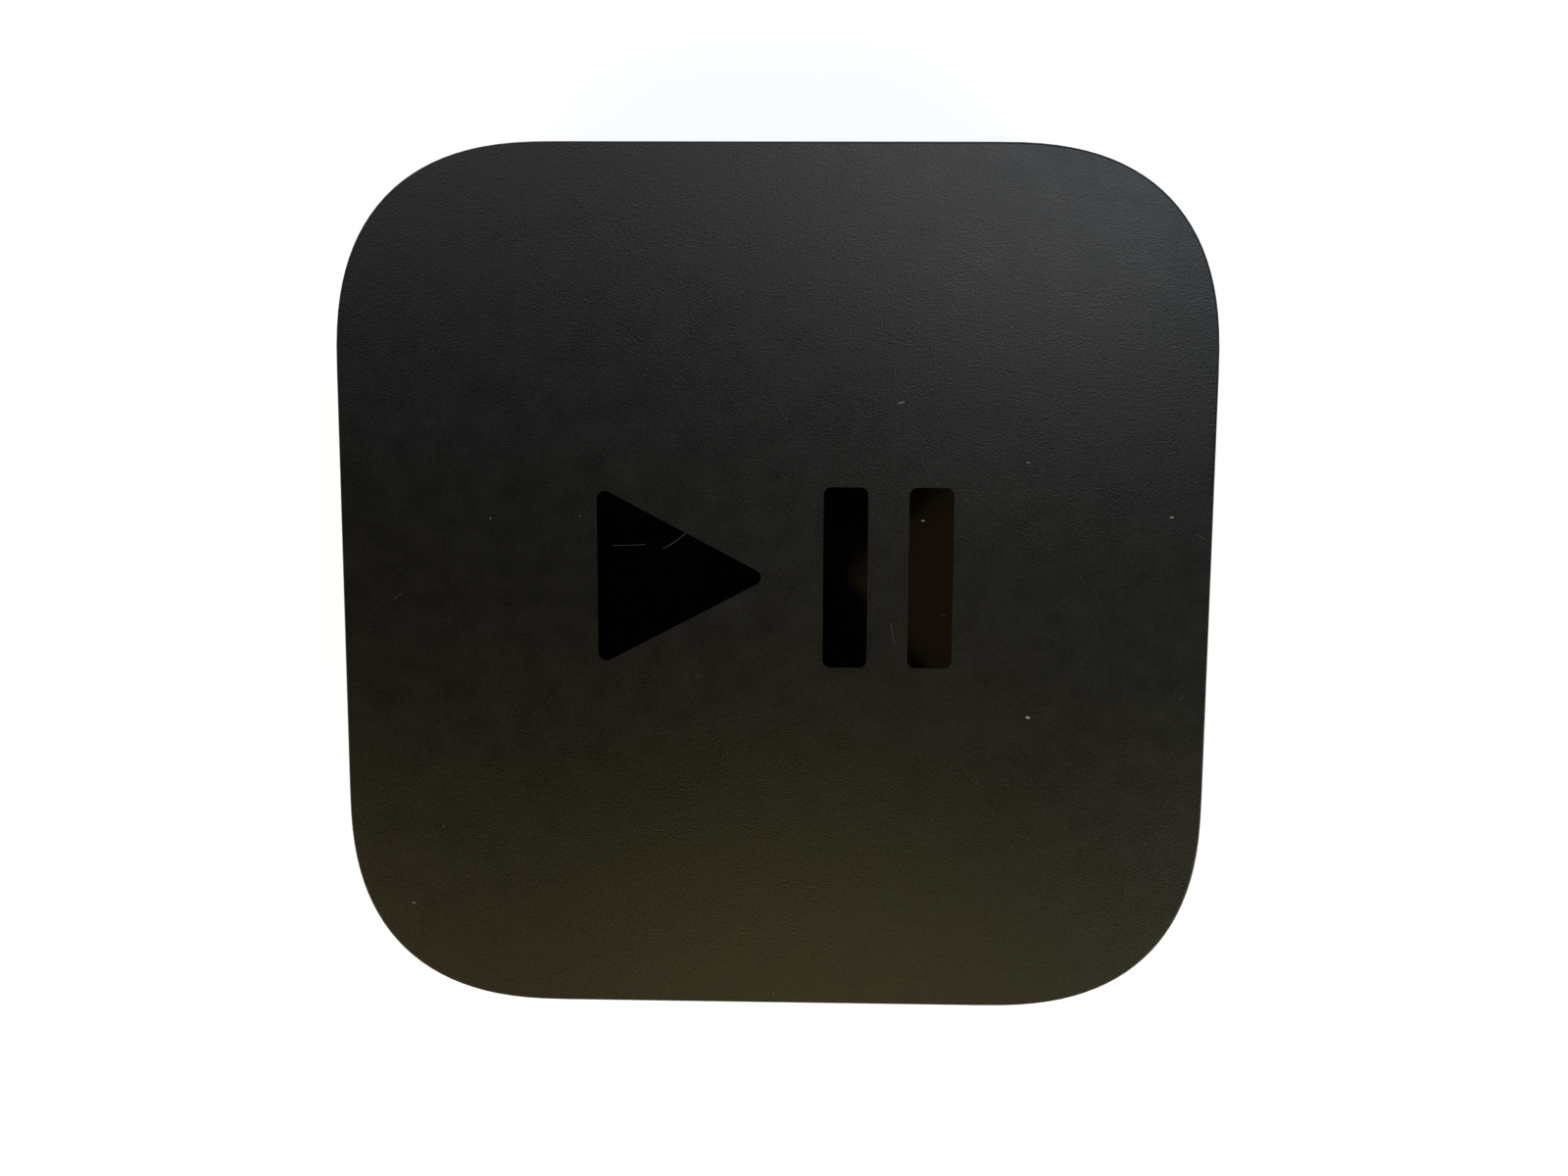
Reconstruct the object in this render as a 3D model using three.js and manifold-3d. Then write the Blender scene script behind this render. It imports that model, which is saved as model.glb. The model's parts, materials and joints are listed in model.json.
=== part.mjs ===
// Streaming media player: a square set-top box with rounded corners, one moulded shell over a flat base.
// It stands on a round foot inside a ring of air vents. A centrifugal fan hangs under the heat sink: it draws
// air in through the inner ring of vents and drives it through the fins and out of the outer ring.
// Above the heat sink lie the logic board and the mains supply; the connectors face the rear wall.
//
// Millimetres, +Z up, front towards -Y. The origin is the centre of the face that the player stands on.
import * as THREE from "three";
import { mergeVertices } from "three/addons/utils/BufferGeometryUtils.js";
import Module from "manifold-3d";

const wasm = await Module();
wasm.setup();

// ---- Clearances ----
const seatGap = 0.05; // between faces that rest on each other
const fitGap = 0.3; // round a piece that passes through or sits inside another
const fanClearance = 0.4; // between the turning impeller and what stands still above and below it
const past = 1; // how far a cutting tool runs past what it cuts
const sunk = 0.2; // how far two shapes that are joined run into each other

// ---- Body ----
const bodySide = 98; // width and depth over the walls
const bodyHeight = 35; // from the foot's face to the top
const cornerReach = 25; // how far each corner's curve runs along a side
const cornerPower = 2.55; // power of the corner's superellipse; 2 is a plain circle
const cornerSteps = 10; // facets in each corner
const sideWall = 2.2;
const topWall = 2.4;
const edgeRadius = 0.5; // rounding of the shell's top and bottom edges

// ---- Base cover, foot and vents ----
const footHeight = 0.9; // how far the foot holds the body off the surface
const footRecess = 0.5; // how deep the foot is let into the base cover
const footGap = 0.7; // between the foot's edge and the vent groove
const footDish = 0.25; // hollow under the middle of the foot, so that only its rim touches
const footRim = 5; // width of the rim that touches
const baseThickness = 1.6;
const coverGap = 0.25; // between base cover and shell, all round
const skirtThickness = 1.2;
const skirtHeight = 2.6;
const skirtInset = 0.35; // from the cover's edge to the skirt's outer face
const hookWidth = 8;
const hookReach = 0.55; // how far a hook's nose stands into the wall
const hookOffset = 13; // each side has two hooks, this far from its middle
const hookHeight = 1.3; // of a hook's nose, up to the skirt's top
const ventMargin = 5.05; // flat edge of the cover outside the vent groove
const ventDepth = 0.6; // depth of the groove that the slots lie in
const ventEdge = 0.5; // groove left beside each row of slots
const slotWidth = 2.2;
const slotCount = 8; // slots in each row
const slotRib = 9; // degrees of solid rib between two slots

// ---- Air guide ----
const guideThickness = 0.6;
const guideLip = 0.6; // wall that parts the two rows of slots
const plenumHeight = 1.2; // room for the incoming air between cover and guide
const guideRibs = 8;
const guideRibWidth = 1.2;
const guideRibSetback = 3; // from the edge of the guide's hole to the ribs

// ---- Fan ----
const impellerHeight = 4.4;
const hubRadius = 10.5;
const hubWall = 0.8;
const bladeCount = 25;
const bladeThickness = 0.7;
const bladeSweep = -32; // degrees that a blade trails from its root to its tip
const bladeRoot = 4; // from the hub's wall to the blades
const eyeMargin = 1; // from the blades' roots to the guide's hole
const tipGap = 1.8; // between the impeller's rim and the fins
const yokeWall = 0.5;
const magnetWall = 1.2;
const statorGap = 0.4;
const statorPoles = 6;
const statorThickness = 1.8;
const bearingTube = 3.2; // outer radius of the tube that holds the bearing
const bearingRadius = 2.2;
const shaftRadius = 0.75;
const shaftBoss = 1.6; // height of the cup's floor round the shaft
const backPlate = 0.7; // thickness of the impeller's disc, at the top of the blades
const runningGap = 0.06; // between shaft and bearing
const fanPlateThickness = 0.7;
const fanPlateRim = 1.5; // from the hub's wall to the edge of the fan's plate
const fanArmWidth = 6;
const fanCircuitThickness = 0.4;
const cableWidth = 5;
const cableThickness = 0.15;

// ---- Heat sink and thermal pad ----
const heatSinkThickness = 1.8;
const heatSinkEdge = 2.2; // gap between its plate and the side walls
const finCount = 40;
const finThickness = 0.9;
const finLength = 8.5;
const pedestalMargin = 1; // of pedestal and pad round the processor
const pedestalHeight = 0.6;
const padThickness = 0.5;

// ---- Logic board ----
const boardThickness = 1.2;
const boardEdge = 1.6; // gap between the boards and the side walls
const processorSide = 14;
const processorHeight = 1.1;
const flatPartHeight = 1.7; // the tallest shield or chip on top of the logic board

// ---- Fasteners ----
const stackScrewRadius = 1.25;
const stackScrewHead = 2.5;
const stackScrewHeadHeight = 1.5;
const threadDepth = 5; // of the stack screws in the shell's columns
const columnRadius = 3;
const columnRib = 1.2;
const columnEdge = 5.4; // from the wall's inner face to a column's centre
const fanScrewRadius = 0.9;
const fanScrewHead = 1.7;
const fanScrewHeadHeight = 0.9;
const driveDepth = 0.6; // of the six-sided recess in a screw's head
const driveShare = 0.42; // the recess's radius as a share of the head's

// ---- Connectors in the rear wall ----
const portGap = 3.2; // between two connectors
const mouthRecess = 0.4; // from the wall's outer face to a connector's mouth
const flangeStep = 0.6; // a connector's body is wider than its nose by this much on each side
const inletWall = 0.8;
const inletCavityPitch = 7; // between the middles of the hollow's two round ends
const inletCavityRadius = 4.1;
const inletCavityWaist = 6.8; // height of the hollow between them
const inletCavityDepth = 10;
const inletBackWall = 6; // the pins are held in this
const pinPitch = 8.6;
const pinRadius = 1.18;
const pinShort = 1; // how far the pins end inside the mouth
const terminalWidth = 2;
const terminalThickness = 0.8;
const terminalBend = 1.8; // length of the upright part behind the inlet
const terminalLap = 4; // how far a terminal lies on the supply board
const terminalRoom = 2.4; // between the connectors' backs and the supply board
const hdmiWidth = 15;
const hdmiHeight = 5.6;
const hdmiDepth = 11.5;
const hdmiWall = 0.35;
const tongueWidth = 11.8;
const tongueThickness = 1.4;
const tongueShort = 1.2; // how far the tongue ends inside the mouth
const tongueBlock = 3.2;
const jackWall = 1.05;
const jackBackWall = 2; // behind the contacts' bar
const jackShieldWall = 0.3;
const plugWidth = 11.9; // the network plug's space, and its latch's two steps below it
const plugHeight = 6.8;
const latchWidth = 6.3;
const latchHeight = 1.4;
const latchTipWidth = 4.2;
const latchTipHeight = 1.3;
const plugDepth = 13;
const contactCount = 8;
const contactPitch = 1.02;
const contactWidth = 0.5;
const contactThickness = 0.4;
const contactDrop = 1.8; // how far a contact's free end hangs below its root
const contactReach = 7.5; // from the back of the plug's space to the free end
const combDepth = 1.6; // of the bar that holds the contacts
const combHeight = 2.2;

// ---- Mains supply ----
const supplyThickness = 1.6;
const supplyFront = 6.4; // gap between the supply board and the front wall
const insulatorThickness = 0.3;
const insulatorDrop = 0.7; // from the supply board's underside to the insulating sheet
const boardAir = 0.6; // between the insulating sheet and the parts below it
const partClearance = 0.8; // above the tallest part, under the shell's top
const capacitorDrop = 1.4; // how much lower the lying capacitors are than the transformer
const canLength = 22; // of the lying capacitors
const chokeRadius = 7;

// ---- Front sensor board and aerials ----
const sensorWidth = 18;
const sensorHeight = 8;
const sensorThickness = 0.8;
const sensorSetback = 3; // from the front wall's inner face
const sensorX = 14; // middle of the sensor board
const lampX = 18;
const receiverX = 10;
const lampHeight = 4.5; // of lamp and receiver over the logic board
const lampDepth = 0.8;
const lightPipeRadius = 0.8;
const windowWidth = 10; // the wall is thinned here for the infrared receiver
const windowHeight = 8;
const windowDepth = 1;
const aerialThickness = 0.4;
const aerialHeight = 7;
const aerialDrop = 2; // below the shell's inner top

// ---- Levels, from the surface up ----
const rimZ = footHeight;
const baseTopZ = rimZ + baseThickness;
const guideZ = baseTopZ + plenumHeight;
const rotorZ = guideZ + guideThickness + fanClearance;
const rotorTopZ = rotorZ + impellerHeight;
const fanPlateZ = rotorTopZ + fanClearance;
const heatSinkZ = fanPlateZ + fanPlateThickness + seatGap;
const heatSinkTopZ = heatSinkZ + heatSinkThickness;
const padZ = heatSinkTopZ + pedestalHeight + seatGap;
const processorZ = padZ + padThickness + seatGap;
const logicZ = processorZ + processorHeight + seatGap;
const logicTopZ = logicZ + boardThickness;
const boardGap = flatPartHeight + boardAir + insulatorThickness + insulatorDrop;
const supplyZ = logicTopZ + boardGap;
const supplyTopZ = supplyZ + supplyThickness;
const ceilingZ = bodyHeight - topWall;
const supplyPartHeight = ceilingZ - partClearance - supplyTopZ;
const lampZ = logicTopZ + lampHeight;

// ---- Rings round the middle, from the edge inwards ----
const ventOuter = bodySide / 2 - sideWall - coverGap - ventMargin;
const exhaustOuter = ventOuter - ventEdge;
const exhaustInner = exhaustOuter - slotWidth;
const guideOuter = exhaustInner - ventEdge;
const intakeOuter = guideOuter - guideLip - ventEdge;
const intakeInner = intakeOuter - slotWidth;
const ventInner = intakeInner - ventEdge;
const footRadius = ventInner - footGap;
const finInner = guideOuter - finLength;
const impellerRadius = finInner - tipGap;
const bladeInner = hubRadius + bladeRoot;
const eyeRadius = bladeInner + eyeMargin;

// ---- Places along the rear wall and of the four columns ----
const inletNoseWidth = inletCavityPitch + 2 * (inletCavityRadius + inletWall);
const inletNoseHeight = 2 * (inletCavityRadius + inletWall);
const inletWidth = inletNoseWidth + 2 * flangeStep;
const inletHeight = inletNoseHeight + 2 * flangeStep;
const jackNoseWidth = plugWidth + 2 * jackWall;
const jackNoseHeight = plugHeight + latchHeight + latchTipHeight + 2 * jackWall;
const jackWidth = jackNoseWidth + 2 * flangeStep;
const jackHeight = jackNoseHeight + 2 * flangeStep;
const hdmiX = 0;
const inletX = hdmiX + hdmiWidth / 2 + portGap + inletWidth / 2;
const jackShieldWidth = jackWidth + 2 * (jackShieldWall + seatGap);
const jackShieldHeight = jackHeight + 2 * (jackShieldWall + seatGap);
const jackX = hdmiX - hdmiWidth / 2 - portGap - jackShieldWidth / 2;
const portHalfSpan = Math.max(inletX + inletWidth / 2, jackShieldWidth / 2 - jackX);
const jackDepth = plugDepth + combDepth + jackBackWall + jackShieldWall + 3 * seatGap;
const portDepth = Math.max(jackDepth, inletCavityDepth + inletBackWall);
const mouthY = wallAt(portHalfSpan) - mouthRecess;
const flangeY = wallAt(portHalfSpan, sideWall) - fitGap;
const portBackY = mouthY - portDepth;
const hdmiZ = logicTopZ + seatGap + hdmiHeight / 2;
const inletZ = Math.max(hdmiZ, heatSinkTopZ + fitGap + inletHeight / 2);
const jackZ = heatSinkTopZ + fitGap + jackShieldHeight / 2;
const supplyRearY = portBackY - terminalRoom;
const columnY = supplyRearY - columnRadius - 2 * fitGap;
const columnX = wallAt(columnY, sideWall) - columnEdge;
const columns = [[1, 1], [-1, 1], [-1, -1], [1, -1]].map(([x, y]) => [x * columnX, y * columnY]);
const hdmiBackY = mouthY - hdmiDepth;
const fanPlateRadius = hubRadius + fanPlateRim;
const fanScrewCircle = finInner + fanArmWidth / 2;
const fanScrewAngles = [45, 135, 225, 315];
const cableAngle = 270; // the fan's cable leaves towards the front
const cableRun = 4; // length of the cable's end on the board, and its distance from the heat sink's edge
const cableEndY = -wallAt(0, sideWall + heatSinkEdge) + cableRun;
const cableHoleGap = 0.5; // round the cable in the heat sink and the board

// ---- Materials ----
function finish(color, roughness, metalness = 0) {
  return new THREE.MeshStandardMaterial({ color, roughness, metalness, flatShading: true });
}
const glossBlack = finish(0x0b0b0c, 0.12);
const satinBlack = finish(0x17171a, 0.5);
const rubberBlack = finish(0x1b1b1c, 0.85);
const connectorBlack = finish(0x101012, 0.4);
const castAluminium = finish(0xb4b6b8, 0.45, 1);
const steel = finish(0xa8a9ac, 0.3, 1);
const brass = finish(0xc9a45c, 0.3, 1);
const gold = finish(0xd9b25a, 0.25, 1);
const boardGreen = finish(0x14301f, 0.45);
const boardBlack = finish(0x14181a, 0.4);
const chipBlack = finish(0x1d1d20, 0.55);
const padGrey = finish(0x8d9499, 0.9);
const ferrite = finish(0x35322f, 0.7);
const copper = finish(0xb06a3a, 0.35, 1);
const capacitorSleeve = finish(0x1c2733, 0.4);
const filmYellow = finish(0xc79a2c, 0.5);
const clearPlastic = finish(0xe8ecee, 0.1);

// ---- Solids ----

// A closed three.js geometry as a manifold-3d solid. Triangles that shrink to a line on an axis are left out.
function solidFrom(geometry) {
  const bare = geometry.index ? geometry.toNonIndexed() : geometry.clone();
  bare.deleteAttribute("normal");
  bare.deleteAttribute("uv");
  const merged = mergeVertices(bare, 1e-4);
  const corners = merged.index.array;
  const kept = [];
  for (let i = 0; i < corners.length; i += 3) {
    const [a, b, c] = corners.slice(i, i + 3);
    if (a !== b && b !== c && c !== a) kept.push(a, b, c);
  }
  return new wasm.Manifold(
    new wasm.Mesh({
      numProp: 3,
      vertProperties: merged.attributes.position.array,
      triVerts: new Uint32Array(kept),
    }),
  );
}

// A manifold-3d solid as a three.js geometry.
function geometryFrom(solid) {
  const mesh = solid.getMesh();
  const places = new Float32Array(mesh.vertProperties);
  const geometry = new THREE.BufferGeometry();
  geometry.setAttribute("position", new THREE.BufferAttribute(places, 3));
  geometry.setIndex(new THREE.BufferAttribute(new Uint32Array(mesh.triVerts), 1));
  geometry.computeVertexNormals();
  return geometry;
}

function join(solids) {
  return solids.reduce((all, next) => all.add(next));
}

function cut(solid, tools) {
  return tools.reduce((left, tool) => left.subtract(tool), solid);
}

function block(x0, x1, y0, y1, z0, z1) {
  const box = new THREE.BoxGeometry(x1 - x0, y1 - y0, z1 - z0);
  box.translate((x0 + x1) / 2, (y0 + y1) / 2, (z0 + z1) / 2);
  return solidFrom(box);
}

// An upright cylinder at x, y.
function post(radius, x, y, z0, z1, sides = 16) {
  const cylinder = new THREE.CylinderGeometry(radius, radius, z1 - z0, sides);
  cylinder.rotateX(Math.PI / 2);
  cylinder.translate(x, y, (z0 + z1) / 2);
  return solidFrom(cylinder);
}

// A closed profile of [radius, height] points turned round the Z axis: up the outside and down the inside.
function turned(profile, sides = 24) {
  const points = profile.map(([radius, height]) => new THREE.Vector2(radius, height));
  const lathe = new THREE.LatheGeometry(points, sides);
  lathe.rotateX(Math.PI / 2);
  return solidFrom(lathe);
}

function ring(inner, outer, z0, z1, sides = 24) {
  return turned([[outer, z0], [outer, z1], [inner, z1], [inner, z0], [outer, z0]], sides);
}

// A flat shape made solid from z0 to z1.
function prism(shape, z0, z1, curveSegments = 6) {
  const options = { depth: z1 - z0, bevelEnabled: false, curveSegments };
  const extrusion = new THREE.ExtrudeGeometry(shape, options);
  extrusion.translate(0, 0, z0);
  return solidFrom(extrusion);
}

// A shape drawn in X and Z, made solid from y0 to y1 and centred on x, z.
function rearPrism(shape, x, z, y0, y1, curveSegments = 6) {
  const options = { depth: y1 - y0, bevelEnabled: false, curveSegments };
  const extrusion = new THREE.ExtrudeGeometry(shape, options);
  extrusion.rotateX(Math.PI / 2);
  extrusion.translate(x, y1, z);
  return solidFrom(extrusion);
}

function named(name, solid, material, x = 0, y = 0, z = 0) {
  const mesh = new THREE.Mesh(geometryFrom(solid), material);
  mesh.name = name;
  mesh.position.set(x, y, z);
  return mesh;
}

function groupOf(...children) {
  const group = new THREE.Group();
  group.add(...children);
  return group;
}

// ---- Outlines ----

function radians(degrees) {
  return (degrees * Math.PI) / 180;
}

// How far a wall stands from the middle, at a distance `along` it from its own middle.
function wallAt(along, inset = 0) {
  const half = bodySide / 2 - inset;
  const reach = cornerReach - inset;
  const into = Math.max(0, Math.abs(along) - (half - reach));
  return half - reach + reach * (1 - (into / reach) ** cornerPower) ** (1 / cornerPower);
}

// The body's plan, drawn in by `inset` all round.
function bodyOutline(inset) {
  const half = bodySide / 2 - inset;
  const reach = cornerReach - inset;
  const middle = new THREE.Vector2(0, 0);
  const points = [];
  for (let corner = 0; corner < 4; corner++) {
    for (let step = 0; step <= cornerSteps; step++) {
      const turn = ((step / cornerSteps) * Math.PI) / 2;
      const x = half - reach + reach * Math.max(0, Math.cos(turn)) ** (2 / cornerPower);
      const y = half - reach + reach * Math.sin(turn) ** (2 / cornerPower);
      points.push(new THREE.Vector2(x, y).rotateAround(middle, (corner * Math.PI) / 2));
    }
  }
  return new THREE.Shape(points);
}

function rectangle(width, height) {
  return new THREE.Shape([
    new THREE.Vector2(-width / 2, -height / 2),
    new THREE.Vector2(width / 2, -height / 2),
    new THREE.Vector2(width / 2, height / 2),
    new THREE.Vector2(-width / 2, height / 2),
  ]);
}

function disc(radius) {
  const shape = new THREE.Shape();
  shape.absarc(0, 0, radius, 0, 2 * Math.PI, false);
  return shape;
}

// A rectangle with half-round ends.
function stadium(width, height) {
  const shape = new THREE.Shape();
  const centre = (width - height) / 2;
  shape.absarc(centre, 0, height / 2, -Math.PI / 2, Math.PI / 2, false);
  shape.absarc(-centre, 0, height / 2, Math.PI / 2, (3 * Math.PI) / 2, false);
  return shape;
}

// The HDMI mouth: full width above, with both lower corners drawn in.
function hdmiOutline(width, height) {
  const side = width / 2;
  const floor = -height / 2;
  const right = [[side - 1.6, floor], [side - 1.3, floor + 0.9], [side, floor + 2], [side, height / 2]];
  const left = right.map(([x, y]) => [-x, y]).reverse();
  return new THREE.Shape([...right, ...left].map(([x, y]) => new THREE.Vector2(x, y)));
}

function ringSector(inner, outer, from, to) {
  const shape = new THREE.Shape();
  shape.absarc(0, 0, outer, radians(from), radians(to), false);
  shape.absarc(0, 0, inner, radians(to), radians(from), true);
  return shape;
}

// ---- Casing ----

// Calls make(x, y, turn) at the two hooks of each side, in the frame of a side that faces +X.
function atHooks(make) {
  const made = [];
  for (let side = 0; side < 4; side++) {
    for (const offset of [-hookOffset, hookOffset]) {
      made.push(make(offset).rotate([0, 0, side * 90]));
    }
  }
  return made;
}

const hookTopZ = baseTopZ + skirtHeight;
const hookNoseZ = hookTopZ - hookHeight;
const skirtFace = bodySide / 2 - sideWall - coverGap - skirtInset;

// The four columns under the shell's top, each with a rib out to the wall, and the holes for their screws.
function makeColumns() {
  const foot = supplyTopZ + seatGap;
  const ribFoot = foot + 2;
  const wallMiddle = bodySide / 2 - sideWall / 2;
  const top = ceilingZ + topWall / 2;
  const solids = columns.flatMap(([x, y]) => {
    const [x0, x1] = x < 0 ? [-wallMiddle, x] : [x, wallMiddle];
    const rib = block(x0, x1, y - columnRib / 2, y + columnRib / 2, ribFoot, top);
    return [post(columnRadius, x, y, foot, top), rib];
  });
  const holes = columns.map(([x, y]) =>
    post(stackScrewRadius + fitGap, x, y, foot - past, foot + threadDepth + fitGap, 12),
  );
  return { solids, holes };
}

// The openings in the rear wall, one round each connector's nose.
function makeRearOpenings() {
  const outside = bodySide / 2 + past;
  const inside = wallAt(portHalfSpan, sideWall) - past;
  const margin = 2 * fitGap;
  const inlet = stadium(inletNoseWidth + margin, inletNoseHeight + margin);
  const hdmi = hdmiOutline(hdmiWidth + margin, hdmiHeight + margin);
  const jack = rectangle(jackNoseWidth + margin, jackNoseHeight + margin);
  return [
    rearPrism(inlet, inletX, inletZ, inside, outside, 8),
    rearPrism(hdmi, hdmiX, hdmiZ, inside, outside),
    rearPrism(jack, jackX, jackZ, inside, outside),
  ];
}

// The lamp's hole through the front wall, and the thin window that infrared light passes.
function makeFrontOpenings() {
  const hole = rearPrism(disc(lightPipeRadius + fitGap), lampX, lampZ,
    -bodySide / 2 - past, -wallAt(lampX, sideWall) + past, 5);
  const floorY = -wallAt(receiverX, sideWall) - windowDepth;
  const window = block(receiverX - windowWidth / 2, receiverX + windowWidth / 2,
    floorY, floorY + windowDepth + past, lampZ - windowHeight / 2, lampZ + windowHeight / 2);
  return [hole, window];
}

function makeTopShell() {
  const rounding = { bevelThickness: edgeRadius, bevelSize: edgeRadius, bevelSegments: 3 };
  const depth = bodyHeight - rimZ - 2 * edgeRadius;
  const outer = new THREE.ExtrudeGeometry(bodyOutline(edgeRadius), { depth, ...rounding });
  outer.translate(0, 0, rimZ + edgeRadius);
  const hollow = prism(bodyOutline(sideWall), rimZ - past, ceilingZ);
  const shell = cut(solidFrom(outer), [hollow]);
  const wallInside = bodySide / 2 - sideWall;
  const pockets = atHooks((offset) =>
    block(wallInside - past, wallInside + hookReach + fitGap,
      offset - hookWidth / 2 - fitGap, offset + hookWidth / 2 + fitGap,
      hookNoseZ - fitGap, hookTopZ + fitGap),
  );
  const { solids, holes } = makeColumns();
  const openings = [...holes, ...makeRearOpenings(), ...makeFrontOpenings(), ...pockets];
  return named("top_shell", cut(join([shell, ...solids]), openings), glossBlack);
}

// The base cover's hooks, which snap into the shell's wall.
function makeHooks() {
  const noseX = bodySide / 2 - sideWall + hookReach;
  const slope = 0.5; // height of the ramp under the nose
  const shape = new THREE.Shape([
    new THREE.Vector2(skirtFace - sunk, hookNoseZ - slope),
    new THREE.Vector2(noseX, hookNoseZ + sunk),
    new THREE.Vector2(noseX, hookTopZ - slope),
    new THREE.Vector2(skirtFace - sunk, hookTopZ),
  ]);
  return atHooks((offset) => rearPrism(shape, 0, 0, offset - hookWidth / 2, offset + hookWidth / 2));
}

// The two rows of slots: air comes in through the inner row and leaves through the outer one.
function makeSlots() {
  const slots = [];
  for (let i = 0; i < slotCount; i++) {
    const from = (i * 360) / slotCount + slotRib / 2;
    const to = ((i + 1) * 360) / slotCount - slotRib / 2;
    for (const [inner, outer] of [[intakeInner, intakeOuter], [exhaustInner, exhaustOuter]]) {
      slots.push(prism(ringSector(inner, outer, from, to), rimZ, baseTopZ + past, 5));
    }
  }
  return slots;
}

function makeBaseCover() {
  const edge = sideWall + coverGap;
  const plate = prism(bodyOutline(edge), rimZ, baseTopZ);
  const skirtOuter = prism(bodyOutline(edge + skirtInset), baseTopZ - sunk, hookTopZ);
  const skirtInner = prism(bodyOutline(edge + skirtInset + skirtThickness), rimZ, hookTopZ + past);
  const skirt = cut(skirtOuter, [skirtInner]);
  const footHole = post(footRadius + seatGap, 0, 0, rimZ - past, rimZ + footRecess, 48);
  const groove = ring(ventInner, ventOuter, rimZ - past, rimZ + ventDepth, 64);
  const cover = cut(join([plate, skirt, ...makeHooks()]), [footHole, groove, ...makeSlots()]);
  return named("base_cover", cover, satinBlack);
}

function makeFootPad() {
  const top = rimZ + footRecess - seatGap;
  const edge = 0.4; // bevel at the foot's rim
  const rimInner = footRadius - footRim;
  const profile = [
    [0, footDish],
    [rimInner, footDish],
    [rimInner + 2 * footDish, 0],
    [footRadius - edge, 0],
    [footRadius, edge],
    [footRadius, top],
    [0, top],
  ];
  return named("foot_pad", turned(profile, 48), rubberBlack);
}

function makeAirGuide() {
  const lipBottom = -plenumHeight + seatGap;
  const plate = turned(
    [
      [guideOuter, lipBottom],
      [guideOuter, guideThickness],
      [eyeRadius, guideThickness],
      [eyeRadius, 0],
      [guideOuter - guideLip, 0],
      [guideOuter - guideLip, lipBottom],
      [guideOuter, lipBottom],
    ],
    48,
  );
  const ribs = [];
  for (let i = 0; i < guideRibs; i++) {
    const rib = block(eyeRadius + guideRibSetback, ventInner, -guideRibWidth / 2, guideRibWidth / 2,
      lipBottom, sunk);
    ribs.push(rib.rotate([0, 0, (i * 360) / guideRibs]));
  }
  return named("air_guide", join([plate, ...ribs]), satinBlack, 0, 0, guideZ);
}

// ---- Fan ----

function bladeShape() {
  const steps = 4;
  const front = [];
  const back = [];
  for (let i = 0; i <= steps; i++) {
    const share = i / steps;
    const radius = bladeInner + share * (impellerRadius - bladeInner);
    const sweep = radians(bladeSweep) * share ** 1.2;
    const half = bladeThickness / 2 / radius;
    front.push(new THREE.Vector2(radius * Math.cos(sweep + half), radius * Math.sin(sweep + half)));
    back.push(new THREE.Vector2(radius * Math.cos(sweep - half), radius * Math.sin(sweep - half)));
  }
  return new THREE.Shape([...back, ...front.reverse()]);
}

const hubInside = hubRadius - hubWall;
const yokeOuter = hubInside - seatGap;
const yokeInner = yokeOuter - yokeWall;
const magnetOuter = yokeInner - seatGap;
const magnetInner = magnetOuter - magnetWall;
const statorOuter = magnetInner - statorGap;
const shaftSeat = 0.03; // round the shaft in its boss

// The rotor, with its zero height at the impeller's lower face.
function makeRotor() {
  const height = impellerHeight;
  const cup = turned(
    [
      [0, 0],
      [hubRadius, 0],
      [hubRadius, height - backPlate],
      [impellerRadius, height - backPlate],
      [impellerRadius, height],
      [hubInside, height],
      [hubInside, hubWall],
      [bearingTube, hubWall],
      [bearingRadius, shaftBoss],
      [0, shaftBoss],
    ],
    48,
  );
  const blade = bladeShape();
  const blades = [];
  for (let i = 0; i < bladeCount; i++) {
    blades.push(prism(blade, 0, height - backPlate / 2).rotate([0, 0, (i * 360) / bladeCount]));
  }
  const bore = post(shaftRadius + shaftSeat, 0, 0, hubWall / 2, height, 16);
  const impeller = cut(join([cup, ...blades]), [bore]);
  const inCup = hubWall + seatGap;
  const shaftTop = height + fanClearance - seatGap;
  return groupOf(
    named("fan_impeller", impeller, satinBlack),
    named("fan_rotor_yoke", ring(yokeInner, yokeOuter, inCup, height, 32), steel),
    named("fan_magnet_ring", ring(magnetInner, magnetOuter, inCup + fitGap, height - fitGap, 32), ferrite),
    named("fan_shaft", post(shaftRadius, 0, 0, hubWall / 2 + seatGap, shaftTop, 16), steel),
  );
}

// The fan's plate carries the bearing tube and is screwed to the heat sink by four arms.
// Its zero height is its underside.
function makeFanPlate(tubeFloor) {
  const top = fanPlateThickness;
  const arms = fanScrewAngles.map((angle) => {
    const ear = post(fanArmWidth / 2, fanScrewCircle, 0, 0, top);
    const arm = block(0, fanScrewCircle, -fanArmWidth / 2, fanArmWidth / 2, 0, top);
    return join([ear, arm]).rotate([0, 0, angle]);
  });
  const screwHoles = fanScrewAngles.map((angle) =>
    post(fanScrewRadius + fitGap, fanScrewCircle, 0, -past, top + past, 12).rotate([0, 0, angle]),
  );
  const cableSlot = block(-cableWidth / 2 - fitGap, cableWidth / 2 + fitGap,
    -fanPlateRadius - past, -statorOuter, -past, top + past);
  const tube = post(bearingTube, 0, 0, tubeFloor, top / 2, 24);
  const plate = post(fanPlateRadius, 0, 0, 0, top, 32);
  const bearingHole = post(bearingRadius + seatGap, 0, 0, tubeFloor - past, top - sunk, 24);
  return cut(join([plate, tube, ...arms]), [...screwHoles, cableSlot, bearingHole]);
}

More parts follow.
